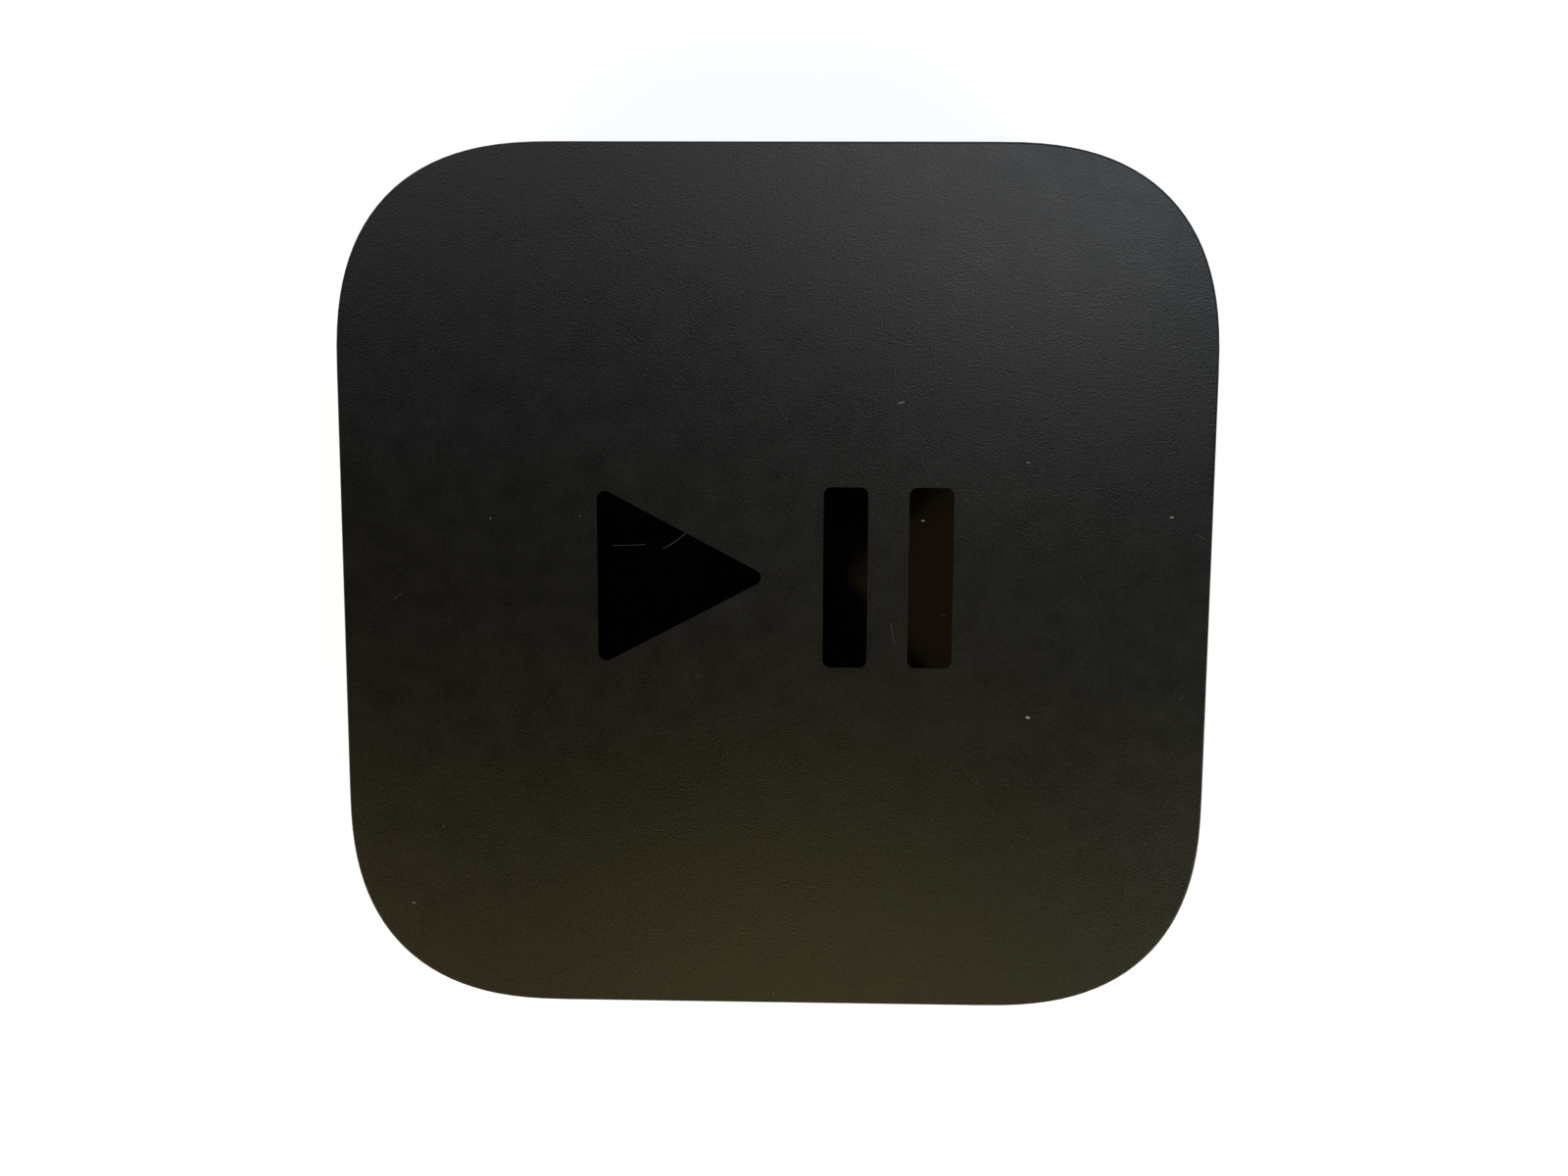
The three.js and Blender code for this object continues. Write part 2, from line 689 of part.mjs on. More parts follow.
function makeStatorCore(inner) {
  const ringWall = 0.9;
  const neckHalf = 0.9;
  const shoeWall = 0.8;
  const shoeHalfAngle = 0.8 * (180 / statorPoles);
  const poles = [];
  for (let i = 0; i < statorPoles; i++) {
    const shoeShape = ringSector(statorOuter - shoeWall, statorOuter, -shoeHalfAngle, shoeHalfAngle);
    const shoe = prism(shoeShape, 0, statorThickness, 4);
    const neck = block(inner + ringWall / 2, statorOuter - shoeWall / 2, -neckHalf, neckHalf,
      0, statorThickness);
    poles.push(join([shoe, neck]).rotate([0, 0, (i * 360) / statorPoles]));
  }
  return join([ring(inner, inner + ringWall, 0, statorThickness), ...poles]);
}

// What stands still in the fan, with its zero height at the underside of its plate.
function makeFanStand() {
  const cupFloor = -fanClearance - impellerHeight + hubWall;
  const tubeFloor = cupFloor - hubWall + shaftBoss + 2 * fanClearance;
  const bearingTop = fanPlateThickness - sunk - seatGap;
  const bearing = ring(shaftRadius + runningGap, bearingRadius, tubeFloor, bearingTop, 16);
  const coreInner = bearingTube + seatGap;
  const coreZ = cupFloor + fitGap + 2 * fanClearance;
  const circuitZ = -seatGap - fanCircuitThickness;
  const circuit = ring(coreInner, statorOuter - sunk, 0, fanCircuitThickness);
  return groupOf(
    named("fan_plate", makeFanPlate(tubeFloor), steel),
    named("fan_bearing", bearing, brass),
    named("fan_stator_core", makeStatorCore(coreInner), ferrite, 0, 0, coreZ),
    named("fan_circuit", circuit, boardGreen, 0, 0, circuitZ),
  );
}

const cableTopZ = logicTopZ + flatPartHeight / 2;

// The flat cable runs from the fan under the heat sink to the front, up through it, and ends on the board.
function makeFanCable() {
  const half = cableWidth / 2;
  const lowZ = heatSinkZ - fitGap - cableThickness;
  const start = -statorOuter - fitGap;
  const under = block(-half, half, cableEndY, start, lowZ, lowZ + cableThickness);
  const riser = block(-half, half, cableEndY, cableEndY + cableThickness, lowZ, cableTopZ);
  const over = block(-half, half, cableEndY, cableEndY + cableRun, cableTopZ - cableThickness, cableTopZ);
  return named("fan_cable", join([under, riser, over]), copper);
}

// A screw that points up, with its zero height under the head. The drive is a six-sided recess.
function makeScrew(name, radius, length, headRadius, headHeight) {
  const headEdge = 0.2;
  const tip = 0.3;
  const body = turned(
    [
      [0, -headHeight],
      [headRadius - headEdge, -headHeight],
      [headRadius, headEdge - headHeight],
      [headRadius, 0],
      [radius, 0],
      [radius, length - tip],
      [radius - tip, length],
      [0, length],
    ],
    12,
  );
  const recess = post(headRadius * driveShare, 0, 0, -headHeight - past, driveDepth - headHeight, 6);
  return named(name, cut(body, [recess]), steel);
}

function makeFanScrews() {
  return groupOf(
    ...fanScrewAngles.map((angle, i) => {
      const length = fanPlateThickness + heatSinkThickness;
      const screw = makeScrew(`fan_screw_${i + 1}`, fanScrewRadius, length, fanScrewHead, fanScrewHeadHeight);
      const x = fanScrewCircle * Math.cos(radians(angle));
      const y = fanScrewCircle * Math.sin(radians(angle));
      screw.position.set(x, y, fanPlateZ - seatGap);
      return screw;
    }),
  );
}

// ---- Heat sink ----

const chipX = -6; // the processor's place on the board
const chipY = -8;

// How many degrees a fin must stand from something of this width that lies at this radius.
function clearAngle(width, radius) {
  return THREE.MathUtils.radToDeg(Math.asin((width / 2 + finThickness / 2 + 2 * fitGap) / radius));
}

// Fins stand all round the fan, except where its arms and its cable pass.
function makeFins() {
  const drop = heatSinkZ - guideZ - guideThickness - fitGap;
  const passing = fanScrewAngles.map((angle) => [angle, clearAngle(fanArmWidth, fanScrewCircle)]);
  passing.push([cableAngle, clearAngle(cableWidth, finInner)]);
  const fins = [];
  for (let i = 0; i < finCount; i++) {
    const angle = (i * 360) / finCount;
    if (passing.some(([middle, clear]) => Math.abs(middle - angle) < clear)) continue;
    const fin = block(finInner, guideOuter, -finThickness / 2, finThickness / 2, -drop, sunk);
    fins.push(fin.rotate([0, 0, angle]));
  }
  return fins;
}

// A slot for the fan's cable through a plate from z0 to z1.
function cableSlotThrough(z0, z1) {
  return block(-cableWidth / 2 - cableHoleGap, cableWidth / 2 + cableHoleGap,
    cableEndY - cableHoleGap, cableEndY + cableThickness + cableHoleGap, z0 - past, z1 + past);
}

function makeHeatSink() {
  const thick = heatSinkThickness;
  const half = processorSide / 2 + pedestalMargin;
  const plate = prism(bodyOutline(sideWall + heatSinkEdge), 0, thick);
  const pedestal = block(chipX - half, chipX + half, chipY - half, chipY + half,
    thick - sunk, thick + pedestalHeight);
  const bossTop = logicZ - seatGap - heatSinkZ;
  const bosses = columns.map(([x, y]) => post(columnRadius, x, y, thick - sunk, bossTop));
  const screwHoles = columns.map(([x, y]) =>
    post(stackScrewRadius + fitGap, x, y, -past, bossTop + past, 12),
  );
  const fanHoles = fanScrewAngles.map((angle) =>
    post(fanScrewRadius + fitGap, fanScrewCircle, 0, -past, thick + past, 12).rotate([0, 0, angle]),
  );
  const holes = [...screwHoles, ...fanHoles, cableSlotThrough(0, thick)];
  const body = cut(join([plate, pedestal, ...bosses, ...makeFins()]), holes);
  const pad = block(-half, half, -half, half, 0, padThickness);
  return groupOf(
    named("heat_sink", body, castAluminium, 0, 0, heatSinkZ),
    named("thermal_pad", pad, padGrey, chipX, chipY, padZ),
  );
}

// ---- Logic board ----

// A flat part with its middle at x, y and its lower face at z.
function flatPart(name, width, depth, height, material, x, y, z) {
  return named(name, block(-width / 2, width / 2, -depth / 2, depth / 2, 0, height), material, x, y, z);
}

function makeLogicBoard() {
  const thick = boardThickness;
  const sheet = prism(bodyOutline(sideWall + boardEdge), 0, thick);
  const notchFor = (x, width, front) =>
    block(x - width / 2 - fitGap, x + width / 2 + fitGap, front, bodySide, -past, thick + past);
  const notches = [
    notchFor(inletX, inletWidth, supplyRearY),
    notchFor(jackX, jackShieldWidth, portBackY - fitGap),
    cableSlotThrough(0, thick),
  ];
  const screwHoles = columns.map(([x, y]) => post(stackScrewRadius + fitGap, x, y, -past, thick + past, 12));
  const board = cut(sheet, [...notches, ...screwHoles]);

  const onTop = logicTopZ + seatGap;
  const memoryThickness = 1;
  const memoryX = chipX + processorSide / 2 + 7;
  const memoryZ = logicZ - seatGap - memoryThickness;
  const transformerY = (supplyRearY + hdmiBackY) / 2;
  const socketHeight = cableTopZ - cableThickness - seatGap - onTop;
  const socketY = cableEndY + cableRun - 1.2;
  return groupOf(
    named("logic_board", board, boardBlack, 0, 0, logicZ),
    flatPart("processor", processorSide, processorSide, processorHeight, chipBlack, chipX, chipY, processorZ),
    flatPart("memory_chip", 9, 11, memoryThickness, chipBlack, memoryX, chipY, memoryZ),
    flatPart("storage_chip", 11.5, 13, 1.2, chipBlack, 14, 4, onTop),
    flatPart("wireless_module", 12, 10, flatPartHeight, steel, -20, -26, onTop),
    flatPart("board_shield", 26, 22, flatPartHeight, steel, -10, -2, onTop),
    flatPart("network_transformer", 12.6, 4.6, 4.2, chipBlack, hdmiX, transformerY, onTop),
    flatPart("fan_socket", cableWidth + 1.5, 2.4, socketHeight, connectorBlack, 0, socketY, onTop),
  );
}

// ---- Connectors ----

// The mains inlet's hollow is a figure of eight: two round ends and a lower waist between them.
function makeInlet() {
  const body = block(-inletWidth / 2, inletWidth / 2, portBackY, flangeY, -inletHeight / 2, inletHeight / 2);
  const nose = rearPrism(stadium(inletNoseWidth, inletNoseHeight), 0, 0, flangeY - past, mouthY, 8);
  const floorY = mouthY - inletCavityDepth;
  const lobe = disc(inletCavityRadius);
  const lobeX = inletCavityPitch / 2;
  const waist = rectangle(inletCavityPitch, inletCavityWaist);
  const hollow = [
    rearPrism(lobe, -lobeX, 0, floorY, mouthY + past, 8),
    rearPrism(lobe, lobeX, 0, floorY, mouthY + past, 8),
    rearPrism(waist, 0, 0, floorY, mouthY + past),
  ];
  const pinHoles = [-1, 1].map((side) =>
    rearPrism(disc(pinRadius + seatGap), (side * pinPitch) / 2, 0, portBackY - past, floorY + past, 5),
  );
  const housing = cut(join([body, nose]), [...hollow, ...pinHoles]);
  const pin = makeInletPin();
  return groupOf(
    named("inlet_body", housing, connectorBlack, inletX, 0, inletZ),
    named("inlet_pin_1", pin, steel, inletX - pinPitch / 2, 0, inletZ),
    named("inlet_pin_2", pin, steel, inletX + pinPitch / 2, 0, inletZ),
  );
}

// A pin runs back through the inlet and ends in a tab that lies on the supply board.
function makeInletPin() {
  const tabZ = supplyTopZ + seatGap - inletZ;
  const tabFrontY = supplyRearY - terminalLap;
  const bendY = portBackY - seatGap;
  const half = terminalWidth / 2;
  const bend = block(-half, half, bendY - terminalBend, bendY, -pinRadius, tabZ + terminalThickness);
  const tab = block(-half, half, tabFrontY, bendY, tabZ, tabZ + terminalThickness);
  const rod = rearPrism(disc(pinRadius), 0, 0, bendY - terminalBend + sunk, mouthY - pinShort, 5);
  return join([rod, bend, tab]);
}

function makeHdmi() {
  const inner = hdmiOutline(hdmiWidth - 2 * hdmiWall, hdmiHeight - 2 * hdmiWall);
  const sleeve = rearPrism(hdmiOutline(hdmiWidth, hdmiHeight), 0, 0, hdmiBackY, mouthY);
  const shell = cut(sleeve, [rearPrism(inner, 0, 0, hdmiBackY - past, mouthY + past)]);
  const fill = 2 * (hdmiWall + seatGap);
  const plug = hdmiOutline(hdmiWidth - fill, hdmiHeight - fill);
  const holder = join([
    rearPrism(plug, 0, 0, hdmiBackY, hdmiBackY + tongueBlock),
    block(-tongueWidth / 2, tongueWidth / 2, hdmiBackY + tongueBlock / 2, mouthY - tongueShort,
      -tongueThickness / 2, tongueThickness / 2),
  ]);
  return groupOf(
    named("hdmi_shell", shell, steel, hdmiX, 0, hdmiZ),
    named("hdmi_tongue", holder, connectorBlack, hdmiX, 0, hdmiZ),
  );
}

const plugTop = jackNoseHeight / 2 - jackWall; // top of the plug's space, from the jack's middle
const plugBackY = mouthY - plugDepth;
const combBackY = plugBackY - combDepth - seatGap;

// The jack's hollow: the plug's space, two steps below it for the latch, and a pocket for the contacts' bar.
function makeNetworkHousing() {
  const plugFloor = plugTop - plugHeight;
  const latchFloor = plugFloor - latchHeight;
  const steps = [
    [plugWidth, plugFloor],
    [latchWidth, latchFloor],
    [latchTipWidth, latchFloor - latchTipHeight],
  ];
  const hollow = steps.map(([width, floor]) =>
    block(-width / 2, width / 2, plugBackY, mouthY + past, floor, plugTop),
  );
  const pocket = block(-plugWidth / 2, plugWidth / 2, combBackY - seatGap, plugBackY + past,
    plugTop - combHeight - 2 * seatGap, plugTop);
  const backY = portBackY + jackShieldWall + seatGap;
  const body = block(-jackWidth / 2, jackWidth / 2, backY, flangeY, -jackHeight / 2, jackHeight / 2);
  const nose = rearPrism(rectangle(jackNoseWidth, jackNoseHeight), 0, 0, flangeY - past, mouthY);
  return cut(join([body, nose]), [...hollow, pocket]);
}

function makeNetworkShield() {
  const outerX = jackShieldWidth / 2;
  const outerZ = jackShieldHeight / 2;
  const innerX = outerX - jackShieldWall;
  const innerZ = outerZ - jackShieldWall;
  return cut(block(-outerX, outerX, portBackY, flangeY - past, -outerZ, outerZ), [
    block(-innerX, innerX, portBackY + jackShieldWall, flangeY, -innerZ, innerZ),
  ]);
}

// The eight contacts slope down into the plug's space from the bar that holds them.
function makeNetworkContacts() {
  const top = plugTop - seatGap;
  const half = plugWidth / 2 - seatGap;
  const bar = block(-half, half, combBackY, combBackY + combDepth, top - combHeight, top);
  const rootZ = top - contactThickness;
  const bendY = plugBackY + 1;
  const endY = plugBackY + contactReach;
  const run = new THREE.Shape([
    new THREE.Vector2(combBackY + combDepth - sunk, rootZ),
    new THREE.Vector2(combBackY + combDepth - sunk, rootZ - contactThickness),
    new THREE.Vector2(bendY, rootZ - contactThickness),
    new THREE.Vector2(endY, rootZ - contactThickness - contactDrop),
    new THREE.Vector2(endY, rootZ - contactDrop),
    new THREE.Vector2(bendY, rootZ),
  ]);
  const contacts = [];
  for (let i = 0; i < contactCount; i++) {
    const contact = new THREE.ExtrudeGeometry(run, { depth: contactWidth, bevelEnabled: false });
    contact.rotateX(Math.PI / 2);
    contact.rotateZ(Math.PI / 2);
    contact.translate((i - (contactCount - 1) / 2) * contactPitch - contactWidth / 2, 0, 0);
    contacts.push(solidFrom(contact));
  }
  return join([bar, ...contacts]);
}

function makeNetworkJack() {
  return groupOf(
    named("network_jack", makeNetworkHousing(), connectorBlack, jackX, 0, jackZ),
    named("network_jack_shield", makeNetworkShield(), steel, jackX, 0, jackZ),
    named("network_contacts", makeNetworkContacts(), gold, jackX, 0, jackZ),
  );
}

// ---- Mains supply ----

// A cylinder lying along X, standing on z = 0.
function lyingCan(radius, length) {
  const can = new THREE.CylinderGeometry(radius, radius, length, 20);
  can.rotateZ(Math.PI / 2);
  can.translate(0, 0, radius);
  return solidFrom(can);
}

// A sheet as wide as the boards, from the front of the supply to its rear edge.
function supplySheet(thickness, holeRadius) {
  const frontY = -wallAt(0, sideWall) + supplyFront;
  const area = block(-bodySide, bodySide, frontY, supplyRearY, -past, thickness + past);
  const sheet = prism(bodyOutline(sideWall + boardEdge), 0, thickness).intersect(area);
  return cut(sheet, columns.map(([x, y]) => post(holeRadius, x, y, -past, thickness + past, 12)));
}

function makeTransformer() {
  const tall = supplyPartHeight;
  const winding = block(-7, 7, -8.5, 8.5, 0, tall * 0.8);
  const core = block(-10, 10, -4.5, 4.5, tall * 0.15, tall);
  return join([winding, core]);
}

// Each part stands on the supply board at [x, distance in front of the board's rear edge].
function makeSupplyParts() {
  const tall = supplyPartHeight;
  const canRadius = (tall - capacitorDrop) / 2;
  const canPitch = 2 * canRadius + 2;
  const canFront = chokeRadius * 2 + 6 + canRadius;
  const choke = ring(chokeRadius / 2, chokeRadius, 0, tall / 2, 20);
  const parts = [
    ["supply_transformer", makeTransformer(), ferrite, -15, 22],
    ["bulk_capacitor_1", lyingCan(canRadius, canLength), capacitorSleeve, 15, canFront],
    ["bulk_capacitor_2", lyingCan(canRadius, canLength), capacitorSleeve, 15, canFront + canPitch],
    ["line_choke", choke, copper, 18, terminalLap + chokeRadius + 2],
    ["filter_capacitor", block(-6, 6, -3, 3, 0, tall - 2), filmYellow, 1, terminalLap + 3],
    ["output_capacitor_1", post(4, 0, 0, 0, tall - 1, 20), capacitorSleeve, -20, 41],
    ["output_capacitor_2", post(4, 0, 0, 0, tall - 1, 20), capacitorSleeve, -10, 41],
  ];
  return parts.map(([name, solid, material, x, fromRear]) =>
    named(name, solid, material, x, supplyRearY - fromRear, supplyTopZ + seatGap),
  );
}

function makeSupply() {
  const spacerRadius = columnRadius - sunk;
  const spacers = columns.map(([x, y], i) => {
    const spacer = ring(stackScrewRadius + fitGap, spacerRadius, seatGap, boardGap - seatGap, 12);
    return named(`supply_spacer_${i + 1}`, spacer, brass, x, y, logicTopZ);
  });
  const board = supplySheet(supplyThickness, stackScrewRadius + fitGap);
  const sheet = supplySheet(insulatorThickness, spacerRadius + fitGap);
  return groupOf(
    named("supply_board", board, boardGreen, 0, 0, supplyZ),
    named("supply_insulator", sheet, filmYellow, 0, 0, supplyZ - insulatorDrop - insulatorThickness),
    ...makeSupplyParts(),
    ...spacers,
  );
}

function makeStackScrews() {
  const length = supplyTopZ + threadDepth - heatSinkZ;
  return groupOf(
    ...columns.map(([x, y], i) => {
      const name = `stack_screw_${i + 1}`;
      const screw = makeScrew(name, stackScrewRadius, length, stackScrewHead, stackScrewHeadHeight);
      screw.position.set(x, y, heatSinkZ - seatGap);
      return screw;
    }),
  );
}

// ---- Front sensor board and aerials ----

// The receiver is a small block with a round lens that faces the front. Zero is its back, on the board.
function makeReceiver() {
  const depth = 1;
  const profile = [[0, 0], [1.7, 0], [1.45, 0.8], [0.9, 1.3], [0, 1.5]];
  const lens = new THREE.LatheGeometry(profile.map(([r, h]) => new THREE.Vector2(r, h)), 12);
  lens.rotateX(Math.PI);
  lens.translate(0, sunk - depth, 0);
  return join([block(-2.8, 2.8, -depth, 0, -2.4, 2.4), solidFrom(lens)]);
}

function makeSensor() {
  const boardY = -wallAt(sensorX + sensorWidth / 2, sideWall) + sensorSetback;
  const boardBackY = boardY + sensorThickness;
  const floor = logicTopZ + seatGap;
  const board = block(sensorX - sensorWidth / 2, sensorX + sensorWidth / 2, boardY, boardBackY,
    floor, logicTopZ + sensorHeight);
  const faceY = boardY - seatGap;
  const lamp = block(-1.6, 1.6, faceY - lampDepth, faceY, -0.9, 0.9);
  const pipeEndY = faceY - lampDepth - seatGap;
  const pipe = rearPrism(disc(lightPipeRadius), 0, 0, -wallAt(lampX) + seatGap, pipeEndY, 5);
  const connector = block(-4, 4, boardBackY + seatGap, boardBackY + 2.2, 0, 2.4);
  return groupOf(
    named("sensor_board", board, boardGreen),
    named("status_lamp", lamp, clearPlastic, lampX, 0, lampZ),
    named("light_pipe", pipe, clearPlastic, lampX, 0, lampZ),
    named("infrared_receiver", makeReceiver(), chipBlack, receiverX, faceY, lampZ),
    named("sensor_connector", connector, connectorBlack, sensorX, 0, floor),
  );
}

// Each aerial is a strip of sheet metal on the inside of a front corner.
function makeAerials() {
  const outer = sideWall + fitGap;
  const top = ceilingZ - aerialDrop;
  const bottom = top - aerialHeight;
  const bent = cut(prism(bodyOutline(outer), bottom, top), [
    prism(bodyOutline(outer + aerialThickness), bottom - 1, top + 1),
  ]);
  const startX = bodySide / 2 - cornerReach;
  const startY = columnY + columnRadius + fitGap;
  const right = bent.intersect(block(startX, bodySide, -bodySide, -startY, 0, bodyHeight));
  const left = bent.intersect(block(-bodySide, -startX, -bodySide, -startY, 0, bodyHeight));
  return groupOf(named("aerial_left", left, steel), named("aerial_right", right, steel));
}

// ---- The player ----

const rotor = makeRotor();
rotor.position.z = rotorZ;
const fanStand = makeFanStand();
fanStand.position.z = fanPlateZ;

const player = groupOf(
  makeTopShell(),
  makeBaseCover(),
  makeFootPad(),
  makeAirGuide(),
  rotor,
  fanStand,
  makeFanCable(),
  makeFanScrews(),
  makeHeatSink(),
  makeLogicBoard(),
  makeInlet(),
  makeHdmi(),
  makeNetworkJack(),
  makeSupply(),
  makeStackScrews(),
  makeSensor(),
  makeAerials(),
);

export default player;
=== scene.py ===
import json
import math

import bmesh
import bpy
from mathutils import Matrix, Vector


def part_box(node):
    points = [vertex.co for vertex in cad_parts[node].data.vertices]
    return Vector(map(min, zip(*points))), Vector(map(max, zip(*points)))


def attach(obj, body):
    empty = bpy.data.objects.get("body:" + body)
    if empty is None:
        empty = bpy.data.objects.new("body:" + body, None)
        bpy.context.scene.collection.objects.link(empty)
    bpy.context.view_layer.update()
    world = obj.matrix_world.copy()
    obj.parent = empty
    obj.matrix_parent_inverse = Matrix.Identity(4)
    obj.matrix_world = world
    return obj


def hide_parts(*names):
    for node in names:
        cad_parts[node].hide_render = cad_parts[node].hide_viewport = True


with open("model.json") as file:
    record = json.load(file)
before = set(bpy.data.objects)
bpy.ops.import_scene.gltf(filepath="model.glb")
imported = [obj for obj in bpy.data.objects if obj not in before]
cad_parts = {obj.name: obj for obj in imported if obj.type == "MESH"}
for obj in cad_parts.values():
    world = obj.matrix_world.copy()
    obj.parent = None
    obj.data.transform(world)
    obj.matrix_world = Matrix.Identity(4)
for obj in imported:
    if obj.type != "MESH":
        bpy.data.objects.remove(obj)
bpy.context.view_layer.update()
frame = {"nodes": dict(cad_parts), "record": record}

record = frame["record"]
nodes = frame["nodes"]
mm = 0.001
past = 1 * mm  # how far a tool runs past the face it cuts or joins
clearance = 0.05 * mm
sliver = 0.01 * mm
fullTurn = 2 * math.pi


def mixed(low, high, share):
    return low + (high - low) * share


def middle(node):
    low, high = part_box(node)
    return (low + high) / 2


def sizeOf(node):
    low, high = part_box(node)
    return high - low


def report(stage):
    print("scene:", stage)


# a square with corners of a superellipse, drawn in all round by inset
def bodyOutline(half, reach, power, inset=0.0, steps=24):
    half -= inset
    reach -= inset
    points = []
    for corner in range(4):
        for step in range(steps + 1):
            turn = step / steps * math.pi / 2
            x = half - reach + reach * max(0.0, math.cos(turn)) ** (2 / power)
            y = half - reach + reach * math.sin(turn) ** (2 / power)
            for _ in range(corner):
                x, y = -y, x
            points.append((x, y))
    return points


# any polygon with its corners rounded
def roundedOutline(points, radius, steps=5):
    rounded = []
    for i, corner in enumerate(points):
        here = Vector(corner)
        back = (Vector(points[i - 1]) - here).normalized()
        ahead = (Vector(points[(i + 1) % len(points)]) - here).normalized()
        angle = back.angle(ahead)
        reach = radius / math.tan(angle / 2)
        centre = here + (back + ahead).normalized() * (radius / math.sin(angle / 2))
        start = here + back * reach - centre
        end = here + ahead * reach - centre
        sweep = start.angle_signed(end)
        for step in range(steps + 1):
            spoke = start.copy()
            spoke.rotate(Matrix.Rotation(-sweep * step / steps, 2))
            rounded.append(tuple(centre + spoke))
    return rounded


def rectangle(width, height, radius=0.0, steps=5):
    x, y = width / 2, height / 2
    corners = [(-x, -y), (x, -y), (x, y), (-x, y)]
    return roundedOutline(corners, radius, steps) if radius else corners


def circle(radius, steps=32):
    turns = [fullTurn * i / steps for i in range(steps)]
    return [(radius * math.cos(turn), radius * math.sin(turn)) for turn in turns]


def shifted(points, x, y):
    return [(px + x, py + y) for px, py in points]


def quarterTurns(steps):
    return [step / steps * math.pi / 2 for step in range(steps + 1)]


# the rounded edge at the foot of a profile, outwards and up
def footEdge(radius, z, rounding, steps):
    return [(radius - rounding * (1 - math.sin(turn)), z + rounding * (1 - math.cos(turn)))
            for turn in quarterTurns(steps)]


# the rounded edge at the head of a profile, up and inwards
def headEdge(radius, z, rounding, steps):
    return [(radius - rounding * (1 - math.cos(turn)), z - rounding * (1 - math.sin(turn)))
            for turn in quarterTurns(steps)]


# a ring's closed profile with its inner and outer edges cut back
def ringProfile(inner, outer, low, high, innerCut, outerCut):
    return [(inner, low + innerCut), (inner + innerCut, low),
            (outer - outerCut, low), (outer, low + outerCut),
            (outer, high - outerCut), (outer - outerCut, high),
            (inner + innerCut, high), (inner, high - innerCut)]


# adds an object or a light to the scene
def linked(name, data):
    item = bpy.data.objects.new(name, data)
    bpy.context.scene.collection.objects.link(item)
    return item


def objectFrom(name, vertices, faces):
    mesh = bpy.data.meshes.new(name)
    mesh.from_pydata(vertices, [], faces)
    mesh.validate()
    return linked(name, mesh)


# a closed solid through rings of equal length, each with its own points in space
def loft(name, rings):
    count = len(rings[0])
    vertices = [point for ring in rings for point in ring]
    faces = []
    for i in range(len(rings) - 1):
        low, high = i * count, (i + 1) * count
        for j in range(count):
            k = (j + 1) % count
            faces.append((low + j, low + k, high + k, high + j))
    faces.append(tuple(reversed(range(count))))
    faces.append(tuple((len(rings) - 1) * count + j for j in range(count)))
    return facingOut(objectFrom(name, vertices, faces))


def facingOut(piece):
    work = bmesh.new()
    work.from_mesh(piece.data)
    bmesh.ops.recalc_face_normals(work, faces=work.faces)
    work.to_mesh(piece.data)
    work.free()
    return piece


# an outline in X and Y, raised from z0 to z1
def upright(name, outline, z0, z1):
    return loft(name, [[(x, y, z) for x, y in outline] for z in (z0, z1)])


# outlines in X and Z, one at each y: (outline, y), (outline, y) ...
def rearward(name, sections, x=0.0, z=0.0):
    return loft(name, [[(px + x, y, pz + z) for px, pz in outline] for outline, y in sections])


# a profile of (radius, height) turned round an upright axis; it starts and ends on the axis, or closes
def turned(name, profile, sides=64, x=0.0, y=0.0):
    closed = profile[0][0] > 0
    vertices, faces, rows = [], [], []
    for radius, z in profile:
        if radius < 1e-9:
            rows.append([len(vertices)] * sides)
            vertices.append((x, y, z))
            continue
        rows.append([len(vertices) + i for i in range(sides)])
        vertices += [(px, py, z) for px, py in shifted(circle(radius, sides), x, y)]
    for i in range(len(rows) if closed else len(rows) - 1):
        low, high = rows[i], rows[(i + 1) % len(rows)]
        for j in range(sides):
            k = (j + 1) % sides
            face = tuple(dict.fromkeys((low[j], low[k], high[k], high[j])))
            if len(face) > 2:
                faces.append(face)
    return facingOut(objectFrom(name, vertices, faces))


def brick(name, low, high, rounding=0.0, segments=2):
    x0, y0, z0 = low
    x1, y1, z1 = high
    piece = upright(name, [(x0, y0), (x1, y0), (x1, y1), (x0, y1)], z0, z1)
    return bevelled(piece, rounding, segments) if rounding else piece


def applied(piece):
    graph = bpy.context.evaluated_depsgraph_get()
    graph.update()
    mesh = bpy.data.meshes.new_from_object(
        piece.evaluated_get(graph), preserve_all_data_layers=True, depsgraph=graph)
    old = piece.data
    piece.modifiers.clear()
    piece.data = mesh
    bpy.data.meshes.remove(old)
    mesh.name = piece.name
    return piece


def bevelled(piece, width, segments=2, angle=40):
    modifier = piece.modifiers.new("rounding", "BEVEL")
    modifier.width = width
    modifier.segments = segments
    modifier.limit_method = "ANGLE"
    modifier.angle_limit = math.radians(angle)
    modifier.harden_normals = False
    return applied(piece)


# joins or cuts with each tool one after another, and deletes the tools
def combined(piece, tools, operation):
    for tool in tools:
        modifier = piece.modifiers.new("cut", "BOOLEAN")
        modifier.operation = operation
        modifier.solver = "EXACT"
        modifier.material_mode = "TRANSFER"
        modifier.object = tool
        applied(piece)
        bpy.data.objects.remove(tool)
    return piece


def carved(piece, *tools):
    return combined(piece, tools, "DIFFERENCE")


def fused(piece, *tools):
    return combined(piece, tools, "UNION")


